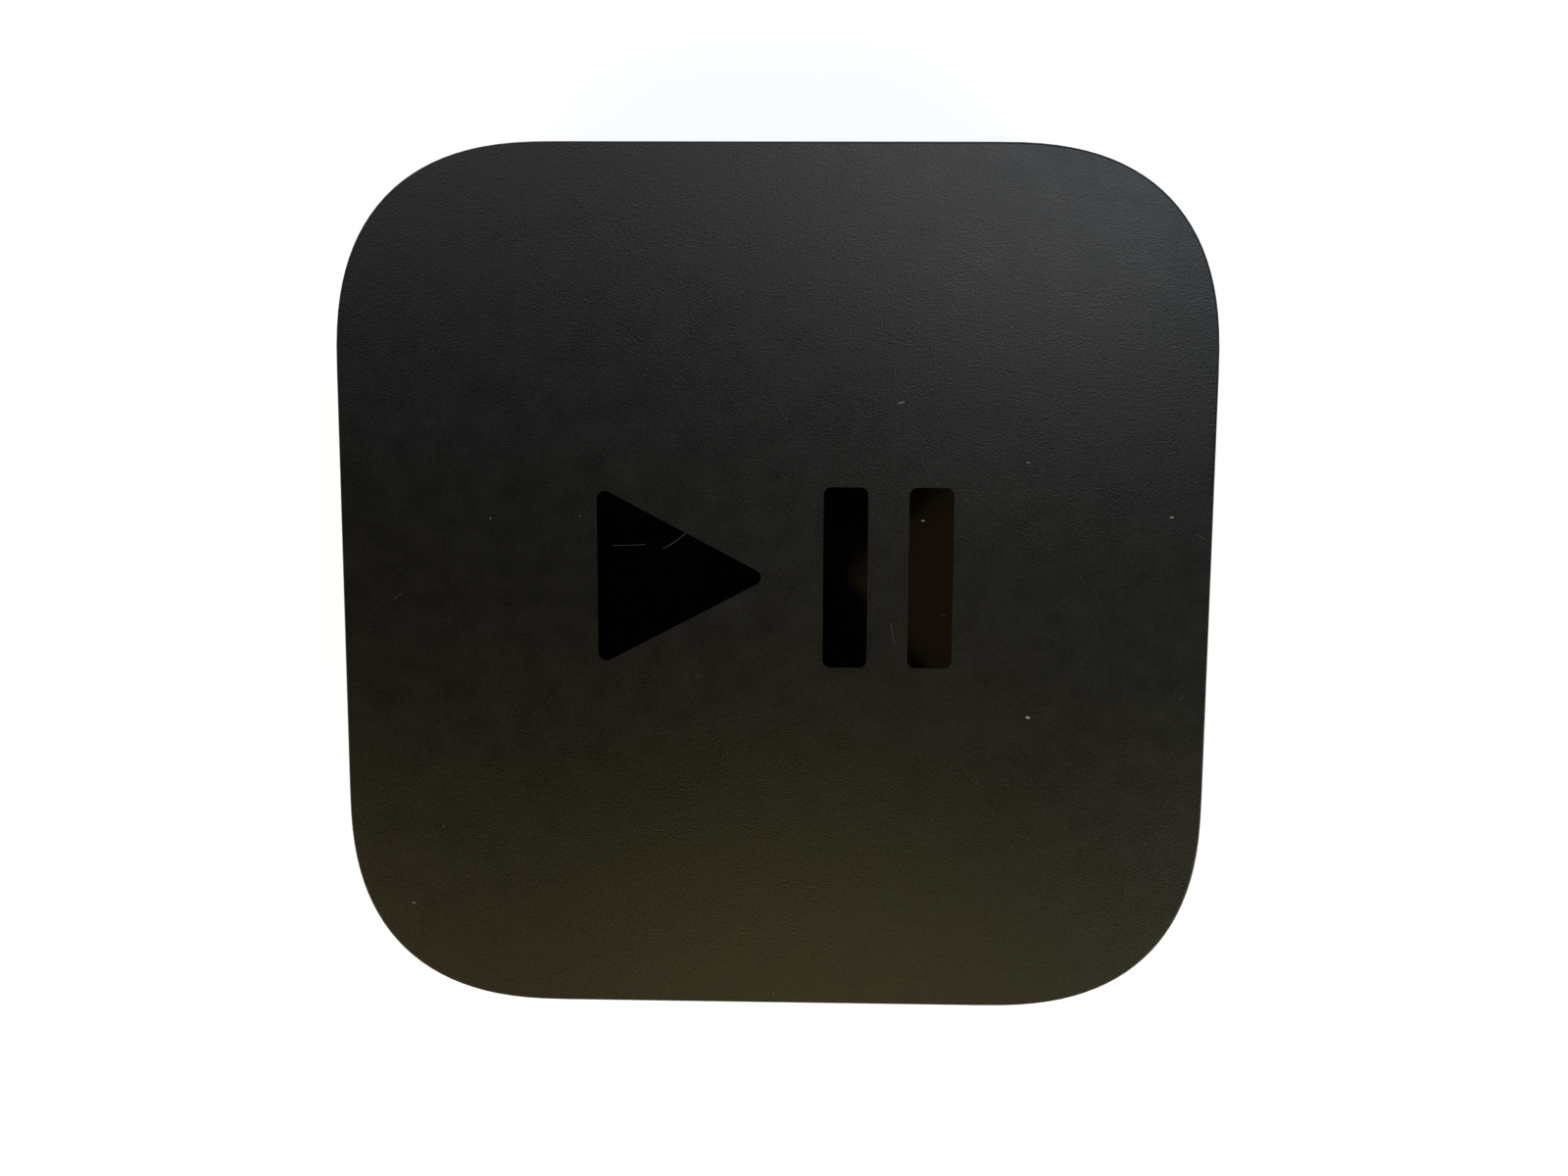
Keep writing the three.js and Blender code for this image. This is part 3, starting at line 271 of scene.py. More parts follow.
# smooth over gentle edges, crisp over sharp ones, and flat faces stay flat
def shaded(piece, angle=32):
    mesh = piece.data
    work = bmesh.new()
    work.from_mesh(mesh)
    bmesh.ops.remove_doubles(work, verts=work.verts, dist=1e-7)
    bmesh.ops.dissolve_degenerate(work, edges=work.edges, dist=1e-7)
    work.to_mesh(mesh)
    work.free()
    mesh.polygons.foreach_set("use_smooth", [True] * len(mesh.polygons))
    mesh.set_sharp_from_angle(angle=math.radians(angle))
    modifier = piece.modifiers.new("normals", "WEIGHTED_NORMAL")
    modifier.keep_sharp = True
    modifier.weight = 100
    return applied(piece)


def painted(piece, *materials):
    piece.data.materials.clear()
    for material in materials:
        piece.data.materials.append(material)
    return piece


# a finished piece rides on its body and may stand for CAD nodes, which it hides
def placed(piece, slot, *stoodFor, body="root"):
    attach(piece, body)
    if stoodFor:
        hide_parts(*stoodFor)
    return piece


# the last steps for a piece of one finish: shading, its slot's material, its body and the nodes it stands for
def finished(piece, slot, *stoodFor, body="root", angle=32):
    painted(shaded(piece, angle), materials[finishOfSlot[slot]])
    return placed(piece, slot, *stoodFor, body=body)


def turnedBy(piece, turn, axis="Z"):
    piece.data.transform(Matrix.Rotation(turn, 4, axis))
    return piece


class Nodes:
    def __init__(self, tree):
        self.tree = tree

    def add(self, kind, **settings):
        node = self.tree.nodes.new(kind)
        for key, value in settings.items():
            if key == "inputs":
                for name, given in value.items():
                    self.feed(node, name, given)
            else:
                setattr(node, key, value)
        return node

    def feed(self, node, name, given):
        socket = node.inputs[name]
        if isinstance(given, bpy.types.NodeSocket):
            self.tree.links.new(given, socket)
        else:
            socket.default_value = given

    def math(self, operation, first, second=0.0, third=None, clamp=False):
        node = self.add("ShaderNodeMath", operation=operation, use_clamp=clamp)
        self.feed(node, 0, first)
        self.feed(node, 1, second)
        if third is not None:
            self.feed(node, 2, third)
        return node.outputs[0]

    def vector(self, operation, inputs):
        return self.add("ShaderNodeVectorMath", operation=operation, inputs=inputs).outputs[0]

    def spread(self, value, low, high, newLow=0.0, newHigh=1.0, smooth=False):
        node = self.add("ShaderNodeMapRange", interpolation_type="SMOOTHSTEP" if smooth else "LINEAR")
        for name, given in zip(("Value", "From Min", "From Max", "To Min", "To Max"),
                               (value, low, high, newLow, newHigh)):
            self.feed(node, name, given)
        return node.outputs["Result"]

    def blend(self, share, first, second):
        node = self.add("ShaderNodeMix", data_type="RGBA")
        self.feed(node, 0, share)
        self.feed(node, 6, first)
        self.feed(node, 7, second)
        return node.outputs[2]

    # the texture scale at which one cell is as many millimetres wide as given
    def scaleFor(self, millimetres):
        return self.math("DIVIDE", 1 / mm, millimetres)


def newGroup(name, inputs, outputs):
    tree = bpy.data.node_groups.new(name, "ShaderNodeTree")
    for label, kind, value in inputs:
        socket = tree.interface.new_socket(label, in_out="INPUT", socket_type=kind)
        socket.default_value = value
    for label, kind in outputs:
        tree.interface.new_socket(label, in_out="OUTPUT", socket_type=kind)
    work = Nodes(tree)
    return work, work.add("NodeGroupInput").outputs, work.add("NodeGroupOutput")


def placeOf(work, stretch=(1.0, 1.0, 1.0), turn=(0.0, 0.0, 0.0)):
    place = work.add("ShaderNodeTexCoord").outputs["Object"]
    mapping = work.add("ShaderNodeMapping", inputs={"Vector": place, "Scale": stretch, "Rotation": turn})
    return mapping.outputs["Vector"]


# the fine texture of a moulded, blasted or cast face; Grain Size is in millimetres
def makeGrainGroup():
    work, given, out = newGroup(
        "mouldedGrain",
        [("Grain Size", "NodeSocketFloat", 0.2), ("Patch Size", "NodeSocketFloat", 14.0)],
        [("Height", "NodeSocketFloat"), ("Tone", "NodeSocketFloat")])
    place = placeOf(work)
    fine = work.scaleFor(given["Grain Size"])
    grain = work.add("ShaderNodeTexNoise", inputs={"Vector": place, "Scale": fine, "Detail": 2.0})
    cells = work.add("ShaderNodeTexVoronoi", inputs={"Vector": place, "Scale": fine})
    height = work.math("MULTIPLY_ADD", cells.outputs["Distance"], 0.5, grain.outputs[0])
    broad = work.scaleFor(given["Patch Size"])
    patch = work.add("ShaderNodeTexNoise", inputs={"Vector": place, "Scale": broad, "Detail": 3.0})
    tone = work.math("MULTIPLY_ADD", grain.outputs[0], 0.35, patch.outputs[0])
    work.feed(out, "Height", height)
    work.feed(out, "Tone", work.spread(tone, 0.45, 0.95))
    return work.tree


# sparse specks of dust, one in some cells of a coarse net; Speck Size is a share of the cell
def makeDustGroup():
    work, given, out = newGroup(
        "settledDust",
        [("Cell Size", "NodeSocketFloat", 4.0), ("Speck Size", "NodeSocketFloat", 0.04),
         ("Amount", "NodeSocketFloat", 0.35)],
        [("Mask", "NodeSocketFloat")])
    scale = work.scaleFor(given["Cell Size"])
    cells = work.add("ShaderNodeTexVoronoi", inputs={"Vector": placeOf(work), "Scale": scale})
    chance = work.add("ShaderNodeSeparateColor", inputs={"Color": cells.outputs["Color"]})
    chosen = work.math("LESS_THAN", chance.outputs[0], given["Amount"])
    size = work.math("MULTIPLY", given["Speck Size"], work.spread(chance.outputs[1], 0.0, 1.0, 0.35, 1.0))
    inner = work.math("MULTIPLY", size, 0.5)
    speck = work.spread(cells.outputs["Distance"], inner, size, 1.0, 0.0, smooth=True)
    work.feed(out, "Mask", work.math("MULTIPLY", speck, chosen))
    return work.tree


# short stray lines at random places and angles, in millimetres: scratches when straight, lint when bent
def makeLineGroup():
    work, given, out = newGroup(
        "strayLines",
        [("Cell Size", "NodeSocketFloat", 6.0), ("Length", "NodeSocketFloat", 2.0),
         ("Width", "NodeSocketFloat", 0.04), ("Bend", "NodeSocketFloat", 0.05),
         ("Amount", "NodeSocketFloat", 0.5)],
        [("Mask", "NodeSocketFloat")])
    place = placeOf(work)
    scale = work.scaleFor(given["Cell Size"])
    cells = work.add("ShaderNodeTexVoronoi", inputs={"Vector": place, "Scale": scale}).outputs
    away = work.vector("SUBTRACT", {0: place, 1: cells["Position"]})
    local = work.vector("SCALE", {0: away, "Scale": 1 / mm})
    angles = work.vector("SCALE", {0: cells["Color"], "Scale": fullTurn})
    swung = work.add("ShaderNodeVectorRotate", rotation_type="EULER_XYZ",
                     inputs={"Vector": local, "Rotation": angles})
    parts = work.add("ShaderNodeSeparateXYZ", inputs={0: swung.outputs[0]}).outputs
    chance = work.add("ShaderNodeSeparateColor", inputs={"Color": cells["Color"]}).outputs
    flat = work.math("ADD", *[work.math("MULTIPLY", part, part) for part in (parts[0], parts[2])])
    bend = work.math("MULTIPLY", given["Bend"], work.spread(chance[2], 0.0, 1.0, -1.0, 1.0))
    off = work.math("ABSOLUTE", work.math("SUBTRACT", parts[1], work.math("MULTIPLY", bend, flat)))
    inner = work.math("MULTIPLY", given["Width"], 0.4)
    line = work.spread(off, inner, given["Width"], 1.0, 0.0)
    reach = work.math("MULTIPLY", given["Length"], work.spread(chance[1], 0.0, 1.0, 0.4, 1.0))
    within = work.math("LESS_THAN", flat, work.math("MULTIPLY", reach, reach))
    chosen = work.math("LESS_THAN", chance[0], given["Amount"])
    work.feed(out, "Mask", work.math("MULTIPLY", line, work.math("MULTIPLY", within, chosen)))
    return work.tree


# the faint smears that hands leave, broad and soft
def makeSmearGroup():
    work, given, out = newGroup(
        "handSmears",
        [("Size", "NodeSocketFloat", 22.0)],
        [("Mask", "NodeSocketFloat")])
    scale = work.scaleFor(given["Size"])
    place = placeOf(work, stretch=(1.0, 1.6, 1.0), turn=(0.0, 0.0, math.radians(28)))
    smear = work.add("ShaderNodeTexNoise", inputs={"Vector": place, "Scale": scale, "Detail": 4.0,
                                                   "Roughness": 0.62, "Distortion": 0.6})
    work.feed(out, "Mask", work.spread(smear.outputs[0], 0.42, 0.68, smooth=True))
    return work.tree


groups = {
    "grain": makeGrainGroup(),
    "dust": makeDustGroup(),
    "lines": makeLineGroup(),
    "smears": makeSmearGroup(),
}
report("shared effects are ready")


def newMaterial(name):
    material = bpy.data.materials.new(name)
    material.use_nodes = True
    tree = material.node_tree
    tree.nodes.clear()
    work = Nodes(tree)
    skin = work.add("ShaderNodeBsdfPrincipled")
    work.out = work.add("ShaderNodeOutputMaterial")
    work.feed(work.out, 0, skin.outputs[0])
    return material, work, skin


def effect(work, name, **values):
    node = work.add("ShaderNodeGroup")
    node.node_tree = groups[name]
    for label, value in values.items():
        work.feed(node, label.replace("_", " "), value)
    return node.outputs


def bumped(work, skin, height, depth, distance):
    bump = work.add("ShaderNodeBump", inputs={"Height": height, "Strength": depth, "Distance": distance})
    work.feed(skin, "Normal", bump.outputs[0])


# a grey given as one number, or a colour, with nothing shining through
def opaque(tone):
    return (*tone, 1) if isinstance(tone, tuple) else (tone, tone, tone, 1)


lintColour = (0.55, 0.55, 0.53)
lineShapes = {"scratches": (0.035, 0.03), "lint": (0.045, 0.7)}  # width in millimetres, and bend


# one recipe for moulded and coated surfaces, worn a little
# scratches and lint are given as (cell, length, amount, strength)
def surfaceMaterial(name, look):
    material, work, skin = newMaterial(name)
    grain = effect(work, "grain", Grain_Size=look["grain"], Patch_Size=look.get("patch", 14.0))
    colour = work.blend(grain["Tone"], opaque(look["dark"]), opaque(look["light"]))
    rough = work.spread(grain["Tone"], 0.0, 1.0, *look["rough"])
    if "smears" in look:
        smear = effect(work, "smears", Size=look.get("smearSize", 22.0))["Mask"]
        rough = work.math("MULTIPLY_ADD", smear, look["smears"], rough)
    for kind, (width, bend) in lineShapes.items():
        if kind in look:
            cell, length, amount, show = look[kind]
            mask = effect(work, "lines", Cell_Size=cell, Length=length, Width=width, Bend=bend,
                          Amount=amount)["Mask"]
            tint = look["scratchColour"] if kind == "scratches" else lintColour
            colour = work.blend(work.math("MULTIPLY", mask, show), colour, opaque(tint))
            rough = work.math("MULTIPLY_ADD", mask, 0.3 * show, rough)
    if "dust" in look:
        dust = effect(work, "dust", Cell_Size=look.get("dustGap", 4.0), Speck_Size=look.get("dustSize", 0.04),
                      Amount=look["dust"])["Mask"]
        colour = work.blend(dust, colour, opaque(look.get("dustColour", lintColour)))
        rough = work.math("MULTIPLY_ADD", dust, 0.4, rough)
    work.feed(skin, "Base Color", colour)
    work.feed(skin, "Roughness", rough)
    skin.inputs["Metallic"].default_value = look.get("metallic", 0.0)
    if look.get("bump"):
        bumped(work, skin, grain["Height"], look["bump"], look["bumpHeight"] * mm)
    return material


looks = {
    "matteTop": {"grain": 0.21, "patch": 3.0, "dark": 0.002, "light": (0.003, 0.0029, 0.0028),
                 "rough": (0.28, 0.33), "bump": 0.6, "bumpHeight": 0.025, "smears": -0.01, "dust": 0.2,
                 "dustGap": 3.2, "dustSize": 0.032, "dustColour": (0.8, 0.8, 0.77),
                 "scratches": (11.0, 1.8, 0.4, 0.2), "lint": (7.0, 0.45, 0.35, 0.75),
                 "scratchColour": (0.3, 0.3, 0.29)},
    "polishedMark": {"grain": 0.6, "patch": 20.0, "dark": 0.0006, "light": (0.001, 0.0009, 0.0009),
                     "rough": (0.03, 0.06), "smears": 0.05, "smearSize": 8.0, "dust": 0.2, "dustGap": 3.0,
                     "dustSize": 0.03, "scratches": (6.0, 2.2, 0.5, 0.25), "lint": (5.0, 0.5, 0.35, 0.4),
                     "scratchColour": (0.3, 0.3, 0.29)},
    "glossSide": {"grain": 0.8, "patch": 30.0, "dark": (0.0018, 0.0018, 0.002),
                  "light": (0.003, 0.003, 0.0032), "rough": (0.035, 0.07), "smears": 0.06,
                  "smearSize": 26.0, "dust": 0.12, "dustGap": 4.5, "dustSize": 0.025,
                  "scratches": (9.0, 2.6, 0.5, 0.2), "scratchColour": 0.2},
    "satinBase": {"grain": 0.3, "patch": 12.0, "dark": (0.008, 0.008, 0.0085),
                  "light": (0.014, 0.014, 0.0145), "rough": (0.42, 0.55), "bump": 0.35, "bumpHeight": 0.03,
                  "dust": 0.3, "dustGap": 3.0, "dustSize": 0.04, "scratches": (7.0, 3.0, 0.5, 0.4),
                  "scratchColour": 0.12},
    "footRubber": {"grain": 0.35, "patch": 7.0, "dark": 0.012, "light": (0.024, 0.024, 0.023),
                   "rough": (0.72, 0.9), "bump": 0.5, "bumpHeight": 0.05, "dust": 0.5, "dustGap": 2.2,
                   "dustSize": 0.07, "dustColour": (0.2, 0.19, 0.18)},
    "socketPlastic": {"grain": 0.25, "patch": 5.0, "dark": (0.006, 0.006, 0.0065),
                      "light": (0.013, 0.013, 0.0135), "rough": (0.34, 0.5), "bump": 0.3,
                      "bumpHeight": 0.02},
    "fanPlastic": {"grain": 0.3, "patch": 6.0, "dark": (0.01, 0.01, 0.011), "light": (0.018, 0.018, 0.019),
                   "rough": (0.4, 0.55), "bump": 0.3, "bumpHeight": 0.02, "dust": 0.5, "dustGap": 1.6,
                   "dustSize": 0.06},
    "castAluminium": {"grain": 0.3, "patch": 8.0, "dark": (0.42, 0.42, 0.43), "light": (0.58, 0.58, 0.59),
                      "rough": (0.42, 0.6), "metallic": 1.0, "bump": 0.5, "bumpHeight": 0.04},
    "platedSteel": {"grain": 0.12, "patch": 4.0, "dark": (0.44, 0.44, 0.46), "light": (0.6, 0.6, 0.61),
                    "rough": (0.2, 0.36), "metallic": 1.0, "bump": 0.12, "bumpHeight": 0.01,
                    "scratches": (2.5, 1.2, 0.6, 0.5), "scratchColour": 0.75},
    "turnedBrass": {"grain": 0.12, "patch": 3.0, "dark": (0.5, 0.36, 0.14), "light": (0.66, 0.49, 0.22),
                    "rough": (0.22, 0.38), "metallic": 1.0, "bump": 0.15, "bumpHeight": 0.01},
    "goldPlate": {"grain": 0.1, "patch": 2.0, "dark": (0.66, 0.46, 0.14), "light": (0.82, 0.6, 0.22),
                  "rough": (0.14, 0.26), "metallic": 1.0},
    "enamelledCopper": {"grain": 0.5, "patch": 2.0, "dark": (0.28, 0.09, 0.03), "light": (0.52, 0.2, 0.08),
                        "rough": (0.2, 0.34), "metallic": 0.9, "bump": 0.5, "bumpHeight": 0.08},
    "sinteredCore": {"grain": 0.2, "patch": 3.0, "dark": (0.02, 0.019, 0.018),
                     "light": (0.04, 0.038, 0.036), "rough": (0.55, 0.75), "bump": 0.4, "bumpHeight": 0.03},
    "epoxyPackage": {"grain": 0.1, "patch": 2.5, "dark": (0.012, 0.012, 0.0125),
                     "light": (0.022, 0.022, 0.0225), "rough": (0.45, 0.62), "bump": 0.35,
                     "bumpHeight": 0.012},
    "greyPad": {"grain": 0.2, "patch": 3.0, "dark": (0.2, 0.22, 0.24), "light": (0.3, 0.32, 0.34),
                "rough": (0.75, 0.9), "bump": 0.4, "bumpHeight": 0.03},
    "amberFilm": {"grain": 0.4, "patch": 4.0, "dark": (0.3, 0.1, 0.012), "light": (0.46, 0.17, 0.03),
                  "rough": (0.18, 0.3)},
    "paleFilm": {"grain": 0.5, "patch": 8.0, "dark": (0.42, 0.37, 0.22), "light": (0.56, 0.5, 0.33),
                 "rough": (0.3, 0.42)},
    "shrinkSleeve": {"grain": 0.4, "patch": 5.0, "dark": (0.006, 0.012, 0.028),
                     "light": (0.012, 0.022, 0.045), "rough": (0.2, 0.34), "bump": 0.2, "bumpHeight": 0.03},
    "yellowBox": {"grain": 0.3, "patch": 4.0, "dark": (0.45, 0.26, 0.01), "light": (0.58, 0.35, 0.025),
                  "rough": (0.34, 0.48), "bump": 0.2, "bumpHeight": 0.02},
}
materials = {name: surfaceMaterial(name, look) for name, look in looks.items()}


# a glass-epoxy board: solder mask over tracks, with plated holes
boardLook = {
    "trackScale": 260.0,
    "tracksPerCell": 5.0,
    "trackEdge": (0.20, 0.26),
    "holeScale": 420.0,
    "holeEdge": (0.10, 0.13),
    "plating": (0.55, 0.5, 0.38),
    "rough": (0.36, 0.25),
    "relief": 0.03 * mm,
}


def boardMaterial(name, mask, track):
    material, work, skin = newMaterial(name)
    place = placeOf(work)
    tracks = work.add("ShaderNodeTexVoronoi", distance="CHEBYCHEV", feature="F2",
                      inputs={"Vector": place, "Scale": boardLook["trackScale"], "Randomness": 0.75})
    repeated = work.math("MULTIPLY", tracks.outputs["Distance"], boardLook["tracksPerCell"])
    trace = work.spread(work.math("PINGPONG", repeated, 0.5), *boardLook["trackEdge"])
    holes = work.add("ShaderNodeTexVoronoi",
                     inputs={"Vector": place, "Scale": boardLook["holeScale"], "Randomness": 0.9})
    pad = work.spread(holes.outputs["Distance"], *boardLook["holeEdge"], 1.0, 0.0)
    grain = effect(work, "grain", Grain_Size=0.15, Patch_Size=9.0)
    base = work.blend(trace, opaque(mask), opaque(track))
    paler = tuple(part * 1.5 for part in mask)
    base = work.blend(work.math("MULTIPLY", grain["Tone"], 0.3), base, opaque(paler))
    work.feed(skin, "Base Color", work.blend(pad, base, opaque(boardLook["plating"])))
    work.feed(skin, "Metallic", work.math("MULTIPLY", pad, 0.9))
    work.feed(skin, "Roughness", work.spread(pad, 0.0, 1.0, *boardLook["rough"]))
    bumped(work, skin, work.math("ADD", trace, pad), 0.4, boardLook["relief"])
    return material


def clearMaterial(name):
    material, work, skin = newMaterial(name)
    grain = effect(work, "grain", Grain_Size=0.3, Patch_Size=2.0)
    tone = work.blend(grain["Tone"], opaque((0.86, 0.88, 0.88)), opaque((0.95, 0.96, 0.96)))
    work.feed(skin, "Base Color", tone)
    work.feed(skin, "Roughness", work.spread(grain["Tone"], 0.0, 1.0, 0.1, 0.2))
    skin.inputs["Transmission Weight"].default_value = 0.85
    skin.inputs["IOR"].default_value = 1.49
    return material


materials["greenBoard"] = boardMaterial("greenBoard", (0.008, 0.035, 0.016), (0.016, 0.062, 0.028))
materials["blackBoard"] = boardMaterial("blackBoard", (0.006, 0.008, 0.009), (0.014, 0.017, 0.019))
materials["clearPlastic"] = clearMaterial("clearPlastic")
report("materials are ready")

# the finish of each of the record's slots
finishOfSlot = {
    "casing": "glossSide", "base": "satinBase", "foot": "footRubber", "fan_plastic": "fanPlastic",
    "connector": "socketPlastic", "heat_sink": "castAluminium", "steel": "platedSteel",
    "brass": "turnedBrass", "gold": "goldPlate", "copper": "enamelledCopper", "ferrite": "sinteredCore",
    "green_board": "greenBoard", "black_board": "blackBoard", "chip": "epoxyPackage", "pad": "greyPad",
    "cable_film": "amberFilm", "insulator": "paleFilm", "sleeve": "shrinkSleeve",
    "film_capacitor": "yellowBox", "clear": "clearPlastic",
}
slotOfNode = {part["node"]: part["material_slot"] for part in record["subparts"]}
for name, node in nodes.items():
    painted(node, materials[finishOfSlot[slotOfNode[name]]])


camera = {
    "lens": 35.84,
    "offset": (5.464, 22.597, 174.666),  # from the middle of the top, in millimetres
    "right": (0.99967, 0.00515, -0.02536),  # where the view's right side and upper side point
    "up": (-0.00837, 0.99169, -0.12841),
}


def makeCamera():
    topCentre = middle("top_shell")
    topCentre.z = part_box("top_shell")[1].z
    data = bpy.data.cameras.new("viewer")
    data.sensor_width = 36.0
    data.lens = camera["lens"]
    data.clip_start = 0.005
    data.clip_end = 20.0
    viewer = linked("viewer", data)
    right, up = Vector(camera["right"]).normalized(), Vector(camera["up"])
    back = right.cross(up).normalized()
    up = back.cross(right)
    turn = Matrix((right, up, back)).transposed().to_4x4()
    viewer.matrix_world = Matrix.Translation(topCentre + Vector(camera["offset"]) * mm) @ turn
    bpy.context.scene.camera = viewer


makeCamera()


shell = {
    "cornerReach": 25 * mm,
    "cornerPower": 2.55,
    "cornerSteps": 26,
    "wall": 2.2 * mm,
    "topWall": 2.4 * mm,
    "ceilingRound": 0.8 * mm,
    "edgeRound": 0.28 * mm,
    "roundSteps": 4,
    "portGap": 0.3 * mm,
    "portChamfer": 0.3 * mm,
    "lampChamfer": 0.15 * mm,
    "column": 3 * mm,
    "columnRib": 1.2 * mm,
    "columnBore": 1.55 * mm,
    "boreDepth": 5.3 * mm,
    "ribStart": 2 * mm,  # above the column's foot
    "window": (10 * mm, 8 * mm),
    "windowDepth": 1 * mm,
    "windowRound": 0.4 * mm,
}
# the base cover's flat plate, its groove with two rows of slots, and the skirt that snaps into the casing
base = {
    "coverGap": 0.25 * mm,
    "plate": 1.6 * mm,
    "edgeRound": 0.35 * mm,
    "skirtInset": 0.35 * mm,
    "skirtLead": 0.2 * mm,
    "skirt": 1.2 * mm,
    "hookWidth": 8 * mm,
    "hookOffset": 13 * mm,
    "hookHeight": 1.3 * mm,
    "hookLead": (0.5 * mm, 0.2 * mm),  # slopes under the hook and over it
    "footDepth": 0.5 * mm,
    "footPlay": 0.05 * mm,
    "footGap": 0.7 * mm,
    "grooveWidth": 7 * mm,
    "grooveDepth": 0.6 * mm,
    "grooveRound": 0.3 * mm,
    "grooveEdge": 0.5 * mm,
    "slotWidth": 2.2 * mm,
    "slotChamfer": 0.2 * mm,
    "slots": 8,
    "rib": 9,  # degrees between two slots
}
shellLow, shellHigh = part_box("top_shell")
shellHalf = (shellHigh.x - shellLow.x) / 2


def shellRing(inset, z):
    reach, power, steps = shell["cornerReach"], shell["cornerPower"], shell["cornerSteps"]
    return [(x, y, z) for x, y in bodyOutline(shellHalf, reach, power, inset, steps)]


# how far the wall stands from the middle, at a distance along it from its own middle
def wallAt(along, inset=0.0):
    half, reach, power = shellHalf - inset, shell["cornerReach"] - inset, shell["cornerPower"]
    into = max(0.0, abs(along) - (half - reach))
    return half - reach + reach * (1 - (into / reach) ** power) ** (1 / power)


mark = {
    "height": 20.5 * mm,
    "triangleWidth": 19.5 * mm,
    "space": 6 * mm,
    "barWidth": 5 * mm,
    "barSpace": 4.6 * mm,
    "cornerRound": 0.9 * mm,
    "centre": (0.1 * mm, 1.1 * mm),
    "depth": 0.045 * mm,
}


# a play sign and a pause sign, side by side
def markOutlines():
    high = mark["height"] / 2
    width = mark["triangleWidth"] + mark["space"] + 2 * mark["barWidth"] + mark["barSpace"]
    left = -width / 2
    tip = left + mark["triangleWidth"]
    outlines = [roundedOutline([(left, -high), (tip, 0.0), (left, high)], mark["cornerRound"], 8)]
    for i in range(2):
        start = tip + mark["space"] + i * (mark["barWidth"] + mark["barSpace"])
        centre = start + mark["barWidth"] / 2
        outlines.append(shifted(rectangle(mark["barWidth"], 2 * high, mark["cornerRound"], 8), centre, 0.0))
    return [shifted(outline, *mark["centre"]) for outline in outlines]


# what the three connectors show in the rear wall
ports = {
    "flangeStep": 0.6 * mm,
    "flangeLead": 1 * mm,
    "bodyRound": 0.5 * mm,
    "mouthRound": 0.25 * mm,
    "jackRound": 0.6 * mm,
    "videoRound": 0.35 * mm,
    "videoFoot": ((1.6 * mm, 0.0), (1.3 * mm, 0.9 * mm), (0.0, 2 * mm)),  # in from the side, and up
}


def videoOutline(width, height, radius):
    side, floor = width / 2, -height / 2
    right = [(side - inwards, floor + up) for inwards, up in ports["videoFoot"]] + [(side, -floor)]
    left = [(-x, z) for x, z in reversed(right)]
    return roundedOutline(right + left, radius, 4)


# the front of each connector's nose, by its CAD node: its outline grown by a margin
def noseOutlines(margin):
    inletBody, sleeve, jack = (sizeOf(node) for node in ("inlet_body", "hdmi_shell", "network_jack"))
    step = 2 * ports["flangeStep"] - 2 * margin
    inletTall = inletBody.z - step
    return {
        "inlet_body": rectangle(inletBody.x - step, inletTall, inletTall / 2 - 1e-6, 16),
        "hdmi_shell": videoOutline(sleeve.x + 2 * margin, sleeve.z + 2 * margin, ports["videoRound"]),
        "network_jack": rectangle(jack.x - step, jack.z - step, ports["jackRound"], 6),
    }


def inside(tool):
    return painted(tool, materials["satinBase"])


# the four columns under the top that the long screws hold, each with a rib out to the side wall
def addColumns(topShell):
    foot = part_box("supply_board")[1].z + clearance
    top = shellHigh.z - shell["topWall"] / 2
    rib = shell["columnRib"] / 2
    for i in range(1, 5):
        x, y, _ = middle("stack_screw_%d" % i)
        x0, x1 = sorted((x, math.copysign(shellHalf - shell["wall"] / 2, x)))
        column = upright("tool", shifted(circle(shell["column"], 48), x, y), foot, top)
        bar = brick("tool", (x0, y - rib, foot + shell["ribStart"]), (x1, y + rib, top))
        fused(topShell, inside(column), inside(bar))
        bore = shifted(circle(shell["columnBore"], 32), x, y)
        carved(topShell, inside(upright("tool", bore, foot - past, foot + shell["boreDepth"])))


# the turn and the place along its side of each hook of the base cover
def hookPlaces():
    offsets = (-base["hookOffset"], base["hookOffset"])
    return [(side * math.pi / 2, offset) for side in range(4) for offset in offsets]


# pockets for the base cover's hooks, and the thin place that infrared light passes
def cutPocketsAndWindow(topShell):
    _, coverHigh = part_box("base_cover")
    gap = shell["portGap"]
    start, reach = shellHalf - shell["wall"] - past, coverHigh.x + gap
    low, half = coverHigh.z - base["hookHeight"] - gap, base["hookWidth"] / 2 + gap
    for turn, offset in hookPlaces():
        pocket = brick("tool", (start, offset - half, low), (reach, offset + half, coverHigh.z + gap))
        carved(topShell, inside(turnedBy(pocket, turn)))
    x, _, z = middle("infrared_receiver")
    width, height = shell["window"]
    wall = -wallAt(abs(x), shell["wall"])
    window = brick("tool", (x - width / 2, wall - shell["windowDepth"], z - height / 2),
                   (x + width / 2, wall + past, z + height / 2), shell["windowRound"])
    carved(topShell, inside(window))


# openings for the connectors' noses, flared at the outer face
def cutPorts(topShell):
    rear, grow = shellHigh.y, shell["portChamfer"]
    for node, outline in noseOutlines(shell["portGap"]).items():
        x, _, z = middle(node)
        wide, tall = max(x for x, _ in outline), max(z for _, z in outline)
        flared = [(x * (1 + grow / wide), z * (1 + grow / tall)) for x, z in outline]
        face = min(rear, wallAt(abs(x) + wide))
        sections = [(outline, rear - 8 * mm), (outline, face - grow), (flared, face), (flared, rear + past)]
        carved(topShell, painted(rearward("tool", sections, x, z), materials["glossSide"]))


